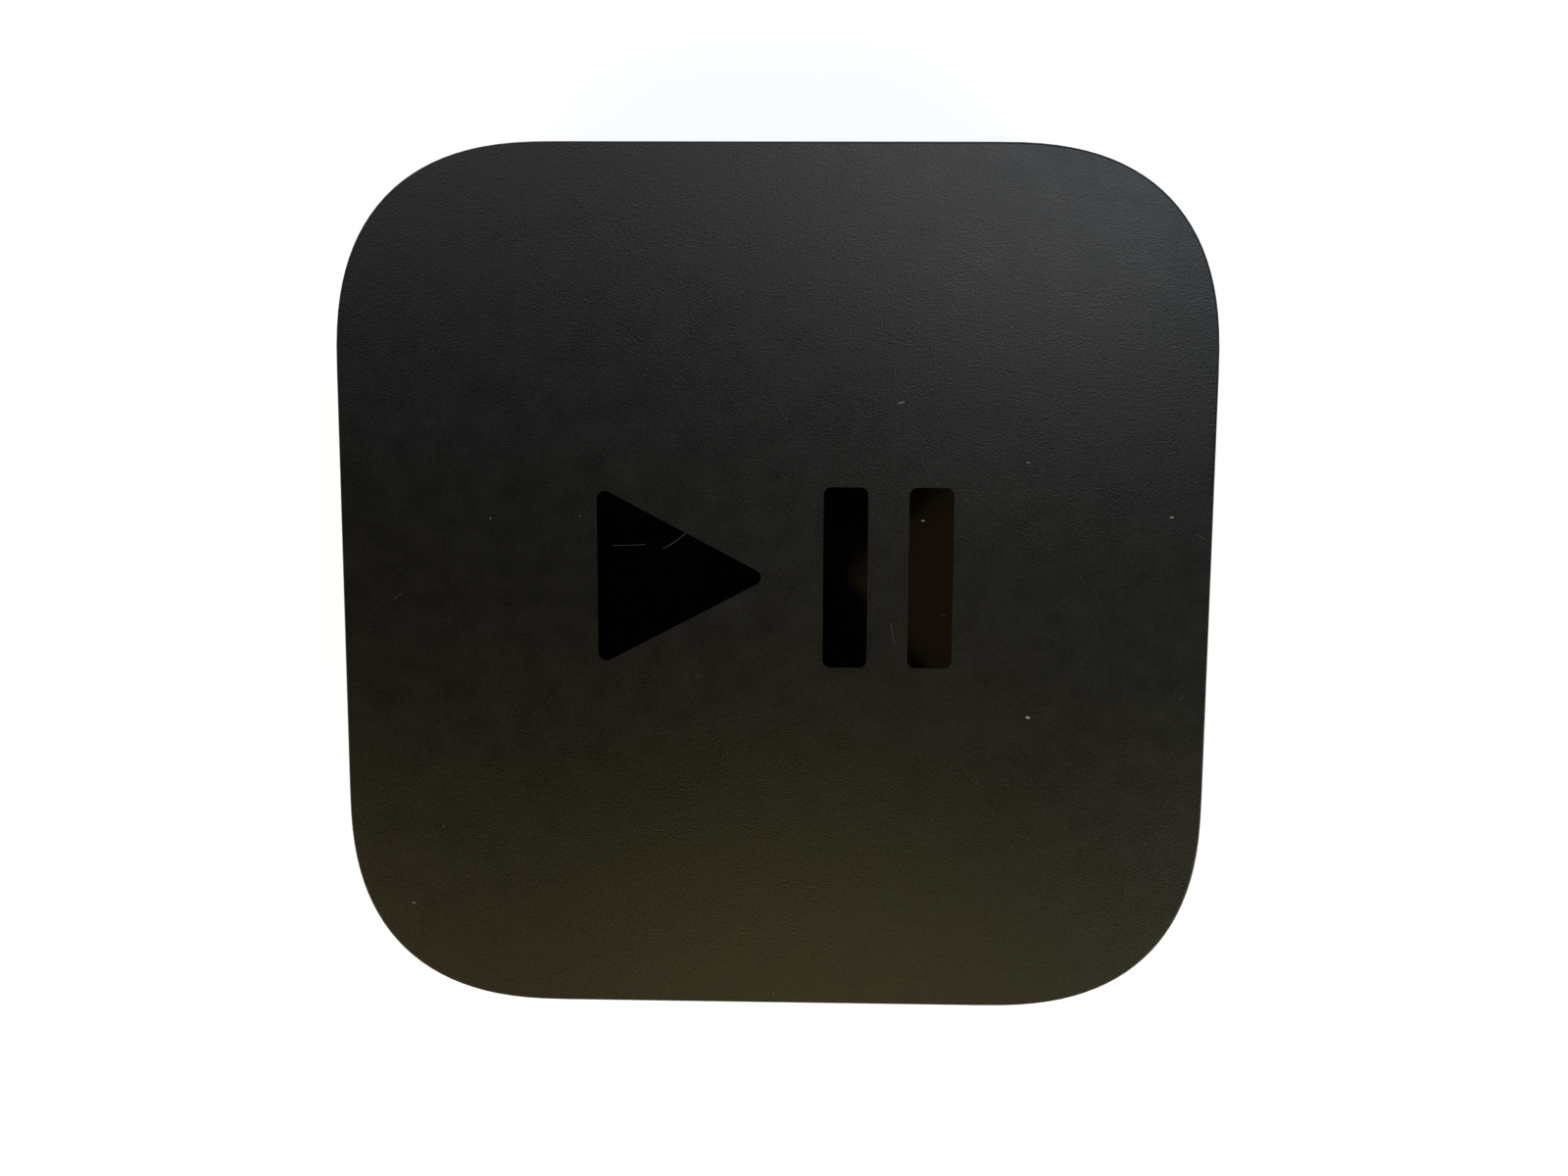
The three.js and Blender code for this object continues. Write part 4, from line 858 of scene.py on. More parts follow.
def cutLampHole(topShell):
    x, _, z = middle("light_pipe")
    front, chamfer = shellLow.y, shell["lampChamfer"]
    hole = sizeOf("light_pipe").x / 2 + shell["portGap"] * 0.5
    wide, narrow = circle(hole + chamfer), circle(hole)
    sections = [(wide, front - past), (wide, front), (narrow, front + chamfer), (narrow, front + 6 * mm)]
    carved(topShell, painted(rearward("tool", sections, x, z), materials["glossSide"]))


def makeShell():
    rounding, steps = shell["edgeRound"], shell["roundSteps"]
    edge = [(rounding * (1 - math.sin(turn)), rounding * (1 - math.cos(turn)))
            for turn in quarterTurns(steps)]
    rings = [shellRing(inset, shellLow.z + rise) for inset, rise in edge]
    rings += [shellRing(inset, shellHigh.z - drop) for drop, inset in edge]
    topShell = loft("topShell", rings)
    wall, soft = shell["wall"], shell["ceilingRound"]
    ceiling = shellHigh.z - shell["topWall"]
    inner = [shellRing(wall, shellLow.z - past), shellRing(wall, ceiling - soft)]
    for turn in quarterTurns(3)[1:]:
        inner.append(shellRing(wall + soft * (1 - math.cos(turn)), ceiling - soft * (1 - math.sin(turn))))
    painted(topShell, materials["glossSide"], materials["matteTop"], materials["polishedMark"])
    carved(topShell, inside(loft("hollow", inner)))
    cutPorts(topShell)
    addColumns(topShell)
    cutPocketsAndWindow(topShell)
    cutLampHole(topShell)
    for face in topShell.data.polygons:
        if face.material_index == 0 and face.center.z > shellHigh.z - rounding * 0.9:
            face.material_index = 1
    for outline in markOutlines():
        tool = upright("tool", outline, shellHigh.z - mark["depth"], shellHigh.z + past)
        carved(topShell, painted(tool, materials["polishedMark"]))
    placed(shaded(topShell), "casing", "top_shell")


makeShell()
report("casing is built")


def arcSteps(start, end, steps):
    return [start + (end - start) * i / steps for i in range(steps + 1)]


def onCircle(radius, bearing):
    return radius * math.cos(bearing), radius * math.sin(bearing)


# a slot that follows a circle from one bearing to another, with half-round ends, drawn larger by grow
def slotOutline(inner, outer, start, end, grow=0.0, steps=14, capSteps=8):
    centre, half = (inner + outer) / 2, (outer - inner) / 2
    first, last = start + half / centre, end - half / centre
    half += grow
    points = [onCircle(centre + half, bearing) for bearing in arcSteps(first, last, steps)]
    points += slotCap(centre, half, last, last, capSteps)
    points += [onCircle(centre - half, bearing) for bearing in arcSteps(last, first, steps)]
    return points + slotCap(centre, half, first, first + math.pi, capSteps)


# the points inside a half circle round one end of a slot
def slotCap(centre, half, bearing, start, steps):
    x, y = onCircle(centre, bearing)
    return shifted([onCircle(half, start + math.pi * i / steps) for i in range(1, steps)], x, y)


def addHooks(cover, skirt):
    _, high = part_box("base_cover")
    lowest, half = high.z - base["hookHeight"], base["hookWidth"] / 2
    start, (below, above) = shellHalf - skirt - base["skirtLead"], base["hookLead"]
    nose = [(start, lowest - below), (high.x, lowest + above), (high.x, high.z - below), (start, high.z)]
    for turn, offset in hookPlaces():
        hook = rearward("tool", [(nose, offset - half), (nose, offset + half)])
        fused(cover, turnedBy(hook, turn))


# the groove round the foot and the two rows of slots in its floor
def cutGrooveAndSlots(cover, under, plateTop):
    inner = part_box("foot_pad")[1].x + base["footGap"]
    outer = inner + base["grooveWidth"]
    floor, rounding, outside = under + base["grooveDepth"], base["grooveRound"], under - 0.1 * mm
    side = [(1.2 * rounding, outside), (0.3 * rounding, under + 0.35 * rounding), (0.0, under + rounding),
            (-0.05 * mm, floor)]
    groove = [(inner - out, z) for out, z in side] + [(outer + out, z) for out, z in reversed(side)]
    carved(cover, turned("tool", groove, 192))
    width, chamfer = base["slotWidth"], base["slotChamfer"]
    levels = ((floor - 0.3 * mm, chamfer * 2.5), (floor + chamfer, 0.0), (plateTop + past, 0.0))
    for row in (inner + base["grooveEdge"], outer - base["grooveEdge"] - width):
        for i in range(base["slots"]):
            start = math.radians(360 / base["slots"] * i + base["rib"] / 2)
            end = math.radians(360 / base["slots"] * (i + 1) - base["rib"] / 2)
            rings = [[(x, y, z) for x, y in slotOutline(row, row + width, start, end, grow)]
                     for z, grow in levels]
            carved(cover, loft("tool", rings))


def makeBaseCover():
    low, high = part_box("base_cover")
    edge, lead = shell["wall"] + base["coverGap"], base["skirtLead"]
    under, plateTop = low.z, low.z + base["plate"]
    skirt = edge + base["skirtInset"]
    rounding = base["edgeRound"]
    rings = [shellRing(edge + rounding * (1 - math.sin(turn)), under + rounding * (1 - math.cos(turn)))
             for turn in quarterTurns(3)]
    rings += [shellRing(edge, plateTop), shellRing(skirt, plateTop + clearance),
              shellRing(skirt, high.z - lead), shellRing(skirt + lead, high.z)]
    cover = loft("baseCover", rings)
    within = skirt + base["skirt"]
    carved(cover, loft("tool", [shellRing(within, plateTop), shellRing(within, high.z + past)]))
    addHooks(cover, skirt)
    hole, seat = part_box("foot_pad")[1].x + base["footPlay"], under + base["footDepth"]
    carved(cover, turned("tool", [(0, under - past), (hole, under - past), (hole, seat), (0, seat)], 128))
    cutGrooveAndSlots(cover, under, plateTop)
    finished(cover, "base", "base_cover")


makeBaseCover()

footPad = {
    "rim": 5 * mm,
    "dish": 0.25 * mm,
    "slope": 1.6 * mm,  # from the dish to the rim
    "slopeLead": 1 * mm,
    "round": 0.4 * mm,
    "sides": 160,
}


def makeFootPad():
    low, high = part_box("foot_pad")
    dish, slope = footPad["dish"], footPad["slope"]
    inner = high.x - footPad["rim"] - footPad["slopeLead"]
    profile = [(0, low.z + dish)]
    profile += [(inner + share * slope, low.z + dish * (0.5 + 0.5 * math.cos(math.pi * share)))
                for share in arcSteps(0, 1, 8)]
    profile += footEdge(high.x, low.z, footPad["round"], 5) + [(high.x, high.z), (0, high.z)]
    finished(turned("footPad", profile, footPad["sides"]), "foot", "foot_pad")


makeFootPad()
report("base and foot are built")


inlet = {
    "lobe": 4.1 * mm,
    "pitch": 7 * mm,
    "waist": 6.8 * mm,
    "depth": 10 * mm,
    "floorRound": 0.25 * mm,
    "mouthFlare": (0.35 * mm, 0.5 * mm),
    "collar": (0.7 * mm, 0.5 * mm),
    "collarEdge": 0.25 * mm,
    "pinRadius": 1.18 * mm,
    "pinDome": 0.9 * mm,
    "tab": (1 * mm, 0.8 * mm),  # half its width, and its thickness
    "tabRound": 0.2 * mm,
    "tabBend": 1.8 * mm,
}


# the hollow's outline: two round ends and a lower waist between them, all rounded into each other
def figureEight(grow=0.0, steps=14):
    lobe, half = inlet["lobe"] + grow, inlet["pitch"] / 2
    lift = math.asin(min(1.0, (inlet["waist"] / 2 + grow) / lobe))
    end = [onCircle(lobe, bearing) for bearing in arcSteps(-math.pi + lift, math.pi - lift, 2 * steps)]
    return [(half + x, z) for x, z in end] + [(-half - x, -z) for x, z in end]


# a connector's body behind the wall, and its narrower nose that stands in the wall's opening
def connectorBody(name, node, noseShape, rounding):
    low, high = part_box(node)
    x, _, z = middle(node)
    flange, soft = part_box("network_jack_shield")[1].y + ports["flangeLead"], ports["bodyRound"]
    width, height = high.x - low.x, high.z - low.z
    body = rectangle(width, height, soft)
    small = rectangle(width - 2 * rounding, height - 2 * rounding, soft)
    block = [(small, low.y), (body, low.y + rounding), (body, flange - rounding), (small, flange)]
    piece = rearward(name, block, x, z)
    wide, tall = max(x for x, _ in noseShape), max(z for _, z in noseShape)
    slim = [(x * (1 - rounding / wide), z * (1 - rounding / tall)) for x, z in noseShape]
    nose = [(noseShape, flange - past), (noseShape, high.y - rounding), (slim, high.y)]
    return fused(piece, rearward("tool", nose, x, z))


def makeInlet():
    low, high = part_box("inlet_body")
    x, _, z = middle("inlet_body")
    radius, soft = inlet["pinRadius"], inlet["floorRound"]
    body = connectorBody("inletBody", "inlet_body", noseOutlines(0.0)["inlet_body"], ports["mouthRound"])
    mouth, floor = high.y, high.y - inlet["depth"]
    flare, flareDepth = inlet["mouthFlare"]
    eight, flared = figureEight(), figureEight(flare)
    hollow = [(figureEight(-soft), floor), (eight, floor + soft), (eight, mouth - flareDepth),
              (flared, mouth + sliver), (flared, mouth + past)]
    carved(body, rearward("tool", hollow, x, z))
    wall, rise = inlet["collar"]
    edge = inlet["collarEdge"]
    for i in (1, 2):
        pinX = middle("inlet_pin_%d" % i).x
        collar, slim, hole = circle(radius + wall), circle(radius + wall - edge), circle(radius + clearance)
        boss = [(collar, floor - past), (collar, floor + rise), (slim, floor + rise + edge)]
        fused(body, rearward("tool", boss, pinX, z))
        carved(body, rearward("tool", [(hole, low.y - past), (hole, floor + 2 * mm)], pinX, z))
    finished(body, "connector", "inlet_body")
    for i in (1, 2):
        makePin("inletPin%d" % i, "inlet_pin_%d" % i, low.y - clearance, z)


# a round pin with a domed tip, and a flat tab behind the inlet that lies on the supply board
def makePin(name, node, back, z):
    low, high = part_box(node)
    x, radius, dome = middle(node).x, inlet["pinRadius"], inlet["pinDome"]
    sections = [(circle(radius), back - 1.6 * mm)]
    for turn in quarterTurns(6):
        wide = radius * (0.45 + 0.55 * math.cos(turn))
        sections.append((circle(wide), high.y - dome * (1 - math.sin(turn))))
    pin = rearward(name, sections, x, z)
    (half, thick), soft = inlet["tab"], inlet["tabRound"]
    bend = brick("tool", (x - half, back - inlet["tabBend"], z - radius), (x + half, back, high.z), soft)
    tab = brick("tool", (x - half, low.y, high.z - thick), (x + half, back - past, high.z), soft)
    finished(fused(pin, bend, tab), "steel", node)


makeInlet()


videoSocket = {
    "sheet": 0.35 * mm,
    "cornerRound": (0.45 * mm, 0.12 * mm),  # outside, and the least inside
    "edge": (0.1 * mm, 0.12 * mm),
    "lip": 0.15 * mm,
    "lipDepth": 0.25 * mm,
    "tongue": (11.8 * mm, 1.4 * mm),
    "tongueRound": 0.25 * mm,
    "block": 3.2 * mm,
    "springWidth": 1.5 * mm,
    "springLength": 4.5 * mm,
    "springCut": 0.3 * mm,
    "springPlace": (3.4 * mm, 2.6 * mm),  # from the middle, and in from the mouth
    "contacts": 19,
    "contactPitch": 0.5 * mm,
    "contactWidth": 0.26 * mm,
    "contactDepth": 0.12 * mm,
    "contactRise": 0.03 * mm,
    "contactEnds": (0.5 * mm, 0.8 * mm),  # into the block, and short of the tip
}


def sleeveOutline(inset):
    size = sizeOf("hdmi_shell")
    outside, least = videoSocket["cornerRound"]
    return videoOutline(size.x - 2 * inset, size.z - 2 * inset, max(least, outside - inset))


# a folded sheet sleeve; each spring is a tongue that three cuts leave in the sheet
def makeVideoSleeve():
    low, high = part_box("hdmi_shell")
    x, _, z = middle("hdmi_shell")
    sheet, lip, (slim, edge) = videoSocket["sheet"], videoSocket["lip"], videoSocket["edge"]
    tube = rearward("videoSleeve", [(sleeveOutline(0), low.y), (sleeveOutline(0), high.y - edge),
                                    (sleeveOutline(slim), high.y)], x, z)
    within, wider = sleeveOutline(sheet), sleeveOutline(sheet - lip)
    carved(tube, rearward("tool", [(within, low.y - past), (within, high.y - videoSocket["lipDepth"]),
                                   (wider, high.y + sliver), (wider, high.y + past)], x, z))
    cut, half, long = videoSocket["springCut"], videoSocket["springWidth"] / 2, videoSocket["springLength"]
    offset, fromMouth = videoSocket["springPlace"]
    start = high.y - fromMouth - long
    for z0, z1 in ((high.z - 2 * sheet, high.z + past), (low.z - past, low.z + 2 * sheet)):
        for at in (x - offset, x + offset):
            left, right = at - half, at + half
            carved(tube, brick("tool", (left - cut, start, z0), (left, start + long, z1)),
                   brick("tool", (right, start, z0), (right + cut, start + long, z1)),
                   brick("tool", (left - cut, start - cut, z0), (right + cut, start + sliver, z1)))
    finished(tube, "steel", "hdmi_shell")


# the block at the back and its tongue, with contacts let in alternately from above and below
def makeVideoTongue():
    low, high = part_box("hdmi_tongue")
    x, _, z = middle("hdmi_shell")
    fill = sleeveOutline(videoSocket["sheet"] + clearance)
    front = low.y + videoSocket["block"]
    block = rearward("videoTongue", [(fill, low.y), (fill, front)], x, z)
    halfWide, halfThick = videoSocket["tongue"][0] / 2, videoSocket["tongue"][1] / 2
    fused(block, brick("tool", (x - halfWide, low.y + past, z - halfThick),
                       (x + halfWide, high.y, z + halfThick), videoSocket["tongueRound"], 3))
    count, pitch, half = videoSocket["contacts"], videoSocket["contactPitch"], videoSocket["contactWidth"] / 2
    deep, proud = videoSocket["contactDepth"], videoSocket["contactRise"]
    rooted, short = videoSocket["contactEnds"]
    strips = []
    for i in range(count):
        at = x + (i - (count - 1) / 2) * pitch
        start, end = front - rooted, high.y - short
        if i % 2 == 0:
            low0, high0 = z + halfThick - deep, z + halfThick + proud
            groove, strip = (low0, high0 + past), (low0 + sliver, high0)
        else:
            low0, high0 = z - halfThick - proud, z - halfThick + deep
            groove, strip = (low0 - past, high0), (low0, high0 - sliver)
        carved(block, brick("tool", (at - half, start, groove[0]), (at + half, end, groove[1])))
        strips.append(brick("strip", (at - half + sliver, start + clearance, strip[0]),
                            (at + half - sliver, end - 2 * sliver, strip[1]), proud))
    finished(block, "connector", "hdmi_tongue")
    finished(gathered("videoContacts", strips), "gold")


# makes one piece of many that don't touch each other
def gathered(name, pieces):
    work = bmesh.new()
    for piece in pieces:
        work.from_mesh(piece.data)
        bpy.data.objects.remove(piece)
    mesh = bpy.data.meshes.new(name)
    work.to_mesh(mesh)
    work.free()
    return linked(name, mesh)


makeVideoSleeve()
makeVideoTongue()


network = {
    "wall": 1.05 * mm,
    "plug": (11.9 * mm, 6.8 * mm),
    "latch": (6.3 * mm, 1.4 * mm),
    "latchTip": (4.2 * mm, 1.3 * mm),
    "plugRound": 0.18 * mm,
    "depth": 13 * mm,
    "mouthFlare": (0.35 * mm, 0.4 * mm),
    "comb": 1.6 * mm,
    "combHeight": 2.2 * mm,
    "contacts": 8,
    "pitch": 1.02 * mm,
    "wire": 0.24 * mm,
    "wireRoot": (0.5 * mm, 0.4 * mm),  # into the bar, and below its top
    "wireStraight": 2 * mm,
    "wireLead": 0.8 * mm,
    "wireTip": ((0.4 * mm, 0.02 * mm), (0.0, 0.28 * mm)),  # back from the end, and up from the dip
    "sheet": 0.3 * mm,
    "sheetRound": (0.6 * mm, 0.3 * mm),
    "window": (4 * mm, 2.6 * mm, 0.4 * mm),
    "windowPlace": 0.62,  # of the shield's depth
}


# the plug's space with the two steps below it for the latch; top is its upper face
def plugOutline(top, grow=0.0):
    (latch, latchDrop), (latchTip, tipDrop) = network["latch"], network["latchTip"]
    wide, tall = network["plug"]
    floor = top - tall - grow
    levels = (floor - latchDrop - tipDrop, floor - latchDrop, floor, top + grow)
    halves = [width / 2 + grow for width in (latchTip, latch, wide)]
    right = [(half, z) for half, low, high in zip(halves, levels, levels[1:]) for z in (low, high)]
    return roundedOutline(right + [(-x, z) for x, z in reversed(right)], network["plugRound"], 3)


def makeNetworkSocket():
    x, _, z = middle("network_jack")
    nose = noseOutlines(0.0)["network_jack"]
    body = connectorBody("networkSocket", "network_jack", nose, ports["mouthRound"])
    top = max(z for _, z in nose) - network["wall"]
    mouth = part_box("network_jack")[1].y
    back = mouth - network["depth"]
    flare, flareDepth = network["mouthFlare"]
    outline, flared = plugOutline(top), plugOutline(top, flare)
    hollow = [(outline, back), (outline, mouth - flareDepth), (flared, mouth + sliver),
              (flared, mouth + past)]
    carved(body, rearward("tool", hollow, x, z))
    low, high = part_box("network_contacts")
    half, play = network["plug"][0] / 2, clearance
    carved(body, brick("tool", (x - half, low.y - play, high.z - network["combHeight"] - play),
                       (x + half, back + past, high.z + play)))
    finished(body, "connector", "network_jack")
    makeNetworkContacts()
    makeNetworkShield()


# eight sprung wires that come out of a bar, dip into the plug's space and turn up at their ends
def makeNetworkContacts():
    low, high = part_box("network_contacts")
    bar = brick("networkComb", (low.x, low.y, high.z - network["combHeight"]),
                (high.x, low.y + network["comb"], high.z), 0.15 * mm)
    finished(bar, "connector", "network_contacts")
    radius = network["wire"]
    (rootIn, rootDown), lead = network["wireRoot"], network["wireLead"]
    rootY, endY = low.y + network["comb"] - rootIn, high.y - radius
    rootZ, dip = high.z - rootDown - radius, low.z + radius
    bendY = rootY + network["wireStraight"]
    path = [(rootY, rootZ), (bendY, rootZ)]
    path += [(mixed(bendY, endY - lead, share), mixed(rootZ, dip, share ** 1.25))
             for share in arcSteps(0, 1, 8)[1:]]
    path += [(endY - back, dip + up) for back, up in network["wireTip"]]
    wires = []
    for i in range(network["contacts"]):
        x = (low.x + high.x) / 2 + (i - (network["contacts"] - 1) / 2) * network["pitch"]
        wires.append(wireAlong("wire", [(x, y, z) for y, z in path], radius))
    finished(gathered("networkContacts", wires), "gold")


# a round wire with closed ends along a list of points
def wireAlong(name, path, radius, sides=10):
    points = [Vector(point) for point in path]
    rings = []
    side = Vector((1, 0, 0))
    for i, point in enumerate(points):
        ahead = (points[min(i + 1, len(points) - 1)] - points[max(i - 1, 0)]).normalized()
        side = (side - ahead * side.dot(ahead)).normalized()
        other = ahead.cross(side)
        rings.append([tuple(point + side * x + other * y) for x, y in circle(radius, sides)])
    return loft(name, rings)


# folded sheet steel round the socket's back, with a pressed window in each side
def makeNetworkShield():
    low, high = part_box("network_jack_shield")
    x, _, z = middle("network_jack_shield")
    sheet, (outerRound, innerRound) = network["sheet"], network["sheetRound"]
    width, height = high.x - low.x, high.z - low.z
    outer = rectangle(width, height, outerRound)
    inner = rectangle(width - 2 * sheet, height - 2 * sheet, innerRound)
    within = [(inner, low.y + sheet), (inner, high.y + past)]
    shield = rearward("networkShield", [(outer, low.y), (outer, high.y)], x, z)
    carved(shield, rearward("tool", within, x, z))
    y = mixed(low.y, high.y, network["windowPlace"])
    window = rectangle(*network["window"])
    bore = loft("tool", [[(across, y + along, z + up) for along, up in window]
                         for across in (low.x - past, high.x + past)])
    carved(bore, rearward("tool", within, x, z))
    finished(carved(shield, bore), "steel", "network_jack_shield")


makeNetworkSocket()


# the clear pipe that brings the lamp's light through the front wall, with a domed end
lightPipe = {
    "dome": 0.25 * mm,
    "collarRise": 0.15 * mm,
    "collarWidth": 1.4 * mm,
}


def makeLightPipe():
    low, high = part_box("light_pipe")
    x, _, z = middle("light_pipe")
    radius, dome, rise = (high.x - low.x) / 2, lightPipe["dome"], lightPipe["collarRise"]
    sections = [(circle(radius * (0.25 + 0.75 * math.sin(turn)), 40), low.y + dome * (1 - math.sin(turn)))
                for turn in quarterTurns(5)]
    plain, collar = circle(radius, 40), circle(radius + rise, 40)
    back = high.y - lightPipe["collarWidth"]
    sections += [(plain, back - rise), (collar, back), (collar, high.y - 0.2 * mm), (plain, high.y)]
    finished(rearward("lightPipe", sections, x, z), "clear", "light_pipe")


makeLightPipe()
report("connectors and lamp are built")


# the impeller: a hub cup, a disc at the top and blades that trail from their roots to their tips
impeller = {
    "hub": 10.5 * mm,
    "hubWall": 0.8 * mm,
    "blades": 25,
    "bladeThickness": 0.7 * mm,
    "bladeRoot": 4 * mm,
    "sweep": -32,  # degrees from root to tip
    "disc": 0.7 * mm,
    "tube": 3.2 * mm,
    "bearing": 2.2 * mm,
    "boss": 1.6 * mm,
    "hubRound": 0.35 * mm,
    "dimple": (3 * mm, 0.6 * mm, 0.15 * mm),
    "discCut": 0.15 * mm,
}


def bladeOutline(root, tip, steps=10):
    front, back = [], []
    for share in arcSteps(0, 1, steps):
        radius = mixed(root, tip, share)
        sweep = math.radians(impeller["sweep"]) * share ** 1.2
        half = impeller["bladeThickness"] / 2 * (1 - 0.35 * share) / radius
        front.append(onCircle(radius, sweep + half))
        back.append(onCircle(radius, sweep - half))
    return back + front[::-1]


def makeImpeller():
    low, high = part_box("fan_impeller")
    z, top, tip = low.z, high.z, high.x
    hub, wall, disc, cutBack = impeller["hub"], impeller["hubWall"], impeller["disc"], impeller["discCut"]
    dimple, slope, deep = impeller["dimple"]
    profile = [(0, z + deep), (dimple, z + deep), (dimple + slope, z)]
    profile += footEdge(hub, z, impeller["hubRound"], 4)
    profile += [(hub, top - disc), (tip - cutBack, top - disc), (tip, top - disc + cutBack),
                (tip, top - cutBack), (tip - cutBack, top), (hub - wall, top), (hub - wall, z + wall),
                (impeller["tube"], z + wall), (impeller["bearing"], z + impeller["boss"]),
                (0, z + impeller["boss"])]
    wheel = turned("fanImpeller", profile, 128)
    outline = bladeOutline(hub + impeller["bladeRoot"], tip)
    for i in range(impeller["blades"]):
        blade = upright("tool", outline, z + 0.02 * mm, top - disc / 2)
        fused(wheel, turnedBy(blade, fullTurn * i / impeller["blades"]))
    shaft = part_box("fan_shaft")[1].x + 0.03 * mm
    carved(wheel, upright("tool", circle(shaft, 40), z + wall / 2, top))
    finished(wheel, "fan_plastic", "fan_impeller", body="fan_rotor")


# the steel ring and the magnet inside it, and the shaft they turn on
rotor = {
    "yokeWall": 0.5 * mm,
    "magnetWall": 1.2 * mm,
    "edge": 0.12 * mm,
    "tip": 0.3 * mm,
}


def makeRotorRings():
    edge = rotor["edge"]
    for name, node, slot, wall in (("fanYoke", "fan_rotor_yoke", "steel", rotor["yokeWall"]),
                                   ("fanMagnet", "fan_magnet_ring", "ferrite", rotor["magnetWall"])):
        low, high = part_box(node)
        ring = turned(name, ringProfile(high.x - wall, high.x, low.z, high.z, edge, edge), 96)
        finished(ring, slot, node, body="fan_rotor")
    low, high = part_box("fan_shaft")
    radius = high.x
    profile = [(0, low.z), (radius - edge, low.z), (radius, low.z + edge), (radius, high.z - rotor["tip"]),
               (radius * 0.7, high.z - 0.05 * mm), (0, high.z)]
    finished(turned("fanShaft", profile, 48), "steel", "fan_shaft", body="fan_rotor")


makeImpeller()
makeRotorRings()


# enamelled wire wound round each neck of the fan's stator
windings = {
    "poles": 6,
    "turns": 7,
    "stepsPerTurn": 24,
    "wire": 0.13 * mm,
    "ringWall": 0.95 * mm,
    "poleTip": 0.8 * mm,
    "rootGap": 0.5 * mm,
    "neckHalf": 0.9 * mm,
}


def makeStatorWindings():
    low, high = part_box("fan_stator_core")
    gap, wire, around = windings["rootGap"], windings["wire"], windings["stepsPerTurn"]
    inner = impeller["tube"] + windings["ringWall"] + gap
    outer = high.x - windings["poleTip"] - gap / 2
    halfWide, halfTall = windings["neckHalf"] + 1.2 * wire, (high.z - low.z) / 2 + 1.2 * wire
    total = windings["turns"] * around
    path = []
    for i in range(total + 1):
        x, z = onCircle(1, fullTurn * i / around)
        square = max(abs(x), abs(z)) ** 0.75
        path.append((mixed(inner, outer, i / total), halfWide * x / square,
                     (low.z + high.z) / 2 + halfTall * z / square))
    coils = [turnedBy(wireAlong("coil", path, wire, 8), fullTurn * pole / windings["poles"])
             for pole in range(windings["poles"])]
    finished(gathered("statorWindings", coils), "copper", angle=50)


makeStatorWindings()
report("fan is built")


# the visual piece's name and its edges' rounding in millimetres, by the CAD node it is copied from
softEdges = {
    "processor": ("processorChip", 0.15), "memory_chip": ("memoryChip", 0.12),
    "storage_chip": ("storageChip", 0.12), "wireless_module": ("wirelessModule", 0.25),
    "board_shield": ("boardShield", 0.3), "network_transformer": ("networkTransformer", 0.25),
    "fan_socket": ("fanSocket", 0.1), "filter_capacitor": ("filterCapacitor", 0.5),
    "thermal_pad": ("thermalPad", 0.12), "status_lamp": ("statusLamp", 0.15),
    "sensor_board": ("sensorBoard", 0.05), "sensor_connector": ("sensorConnector", 0.15),
    "logic_board": ("logicBoard", 0.06), "supply_board": ("supplyBoard", 0.06),
    "supply_insulator": ("supplyInsulator", 0.05), "fan_cable": ("fanCable", 0.03),
    "aerial_left": ("aerialLeft", 0.08), "aerial_right": ("aerialRight", 0.08),
    "infrared_receiver": ("infraredReceiver", 0.08), "fan_plate": ("fanPlate", 0.06),
    "fan_stator_core": ("fanStator", 0.06), "air_guide": ("airGuide", 0.06),
    "heat_sink": ("heatSink", 0.08), "fan_bearing": ("fanBearing", 0.05),
    "fan_circuit": ("fanCircuit", 0.04),
}


def softenNodes():
    for node, (name, rounding) in softEdges.items():
        piece = linked(name, nodes[node].data.copy())
        work = bmesh.new()
        work.from_mesh(piece.data)
        bmesh.ops.remove_doubles(work, verts=work.verts, dist=1e-6)
        bmesh.ops.dissolve_limit(work, angle_limit=math.radians(1), verts=work.verts, edges=work.edges)
        work.to_mesh(piece.data)
        work.free()
        bevelled(piece, rounding * mm, 3)
        finished(piece, slotOfNode[node], node)


softenNodes()


# a can with a crimped neck near its sealed end, a rounded top and a scored vent; its height runs along +Z
can = {
    "footRound": 0.3 * mm,
    "footRim": (1.2 * mm, 0.9 * mm),  # where its slope begins and ends, in from the side
    "cornerRound": 0.5 * mm,
    "neck": 0.35 * mm,
    "neckAt": 1.6 * mm,
    "neckWidth": 1.4 * mm,
    "sleeveEdge": 1 * mm,
    "sleeveStep": 0.12 * mm,
    "bare": (0.35 * mm, 0.95 * mm),  # metal this far down from the top, and in from the side
    "scores": (0, 60, 120),  # their bearings in degrees
    "scoreWidth": 0.3 * mm,
    "scoreDepth": 0.12 * mm,
}


def canProfile(radius, length):
    foot, edge, step = can["footRound"], can["sleeveEdge"], can["sleeveStep"]
    dish, rim = (radius - width for width in can["footRim"])
    profile = [(0, foot), (dish, foot), (rim, 0)] + footEdge(radius, 0, foot, 4)
    for share in arcSteps(0, 1, 8):
        inwards = can["neck"] * math.sin(math.pi * share) ** 2
        profile.append((radius - inwards, can["neckAt"] + (share - 0.5) * can["neckWidth"]))
    profile += headEdge(radius, length, can["cornerRound"], 4)
    return profile + [(radius - edge, length), (radius - edge - 0.1 * mm, length - step), (0, length - step)]


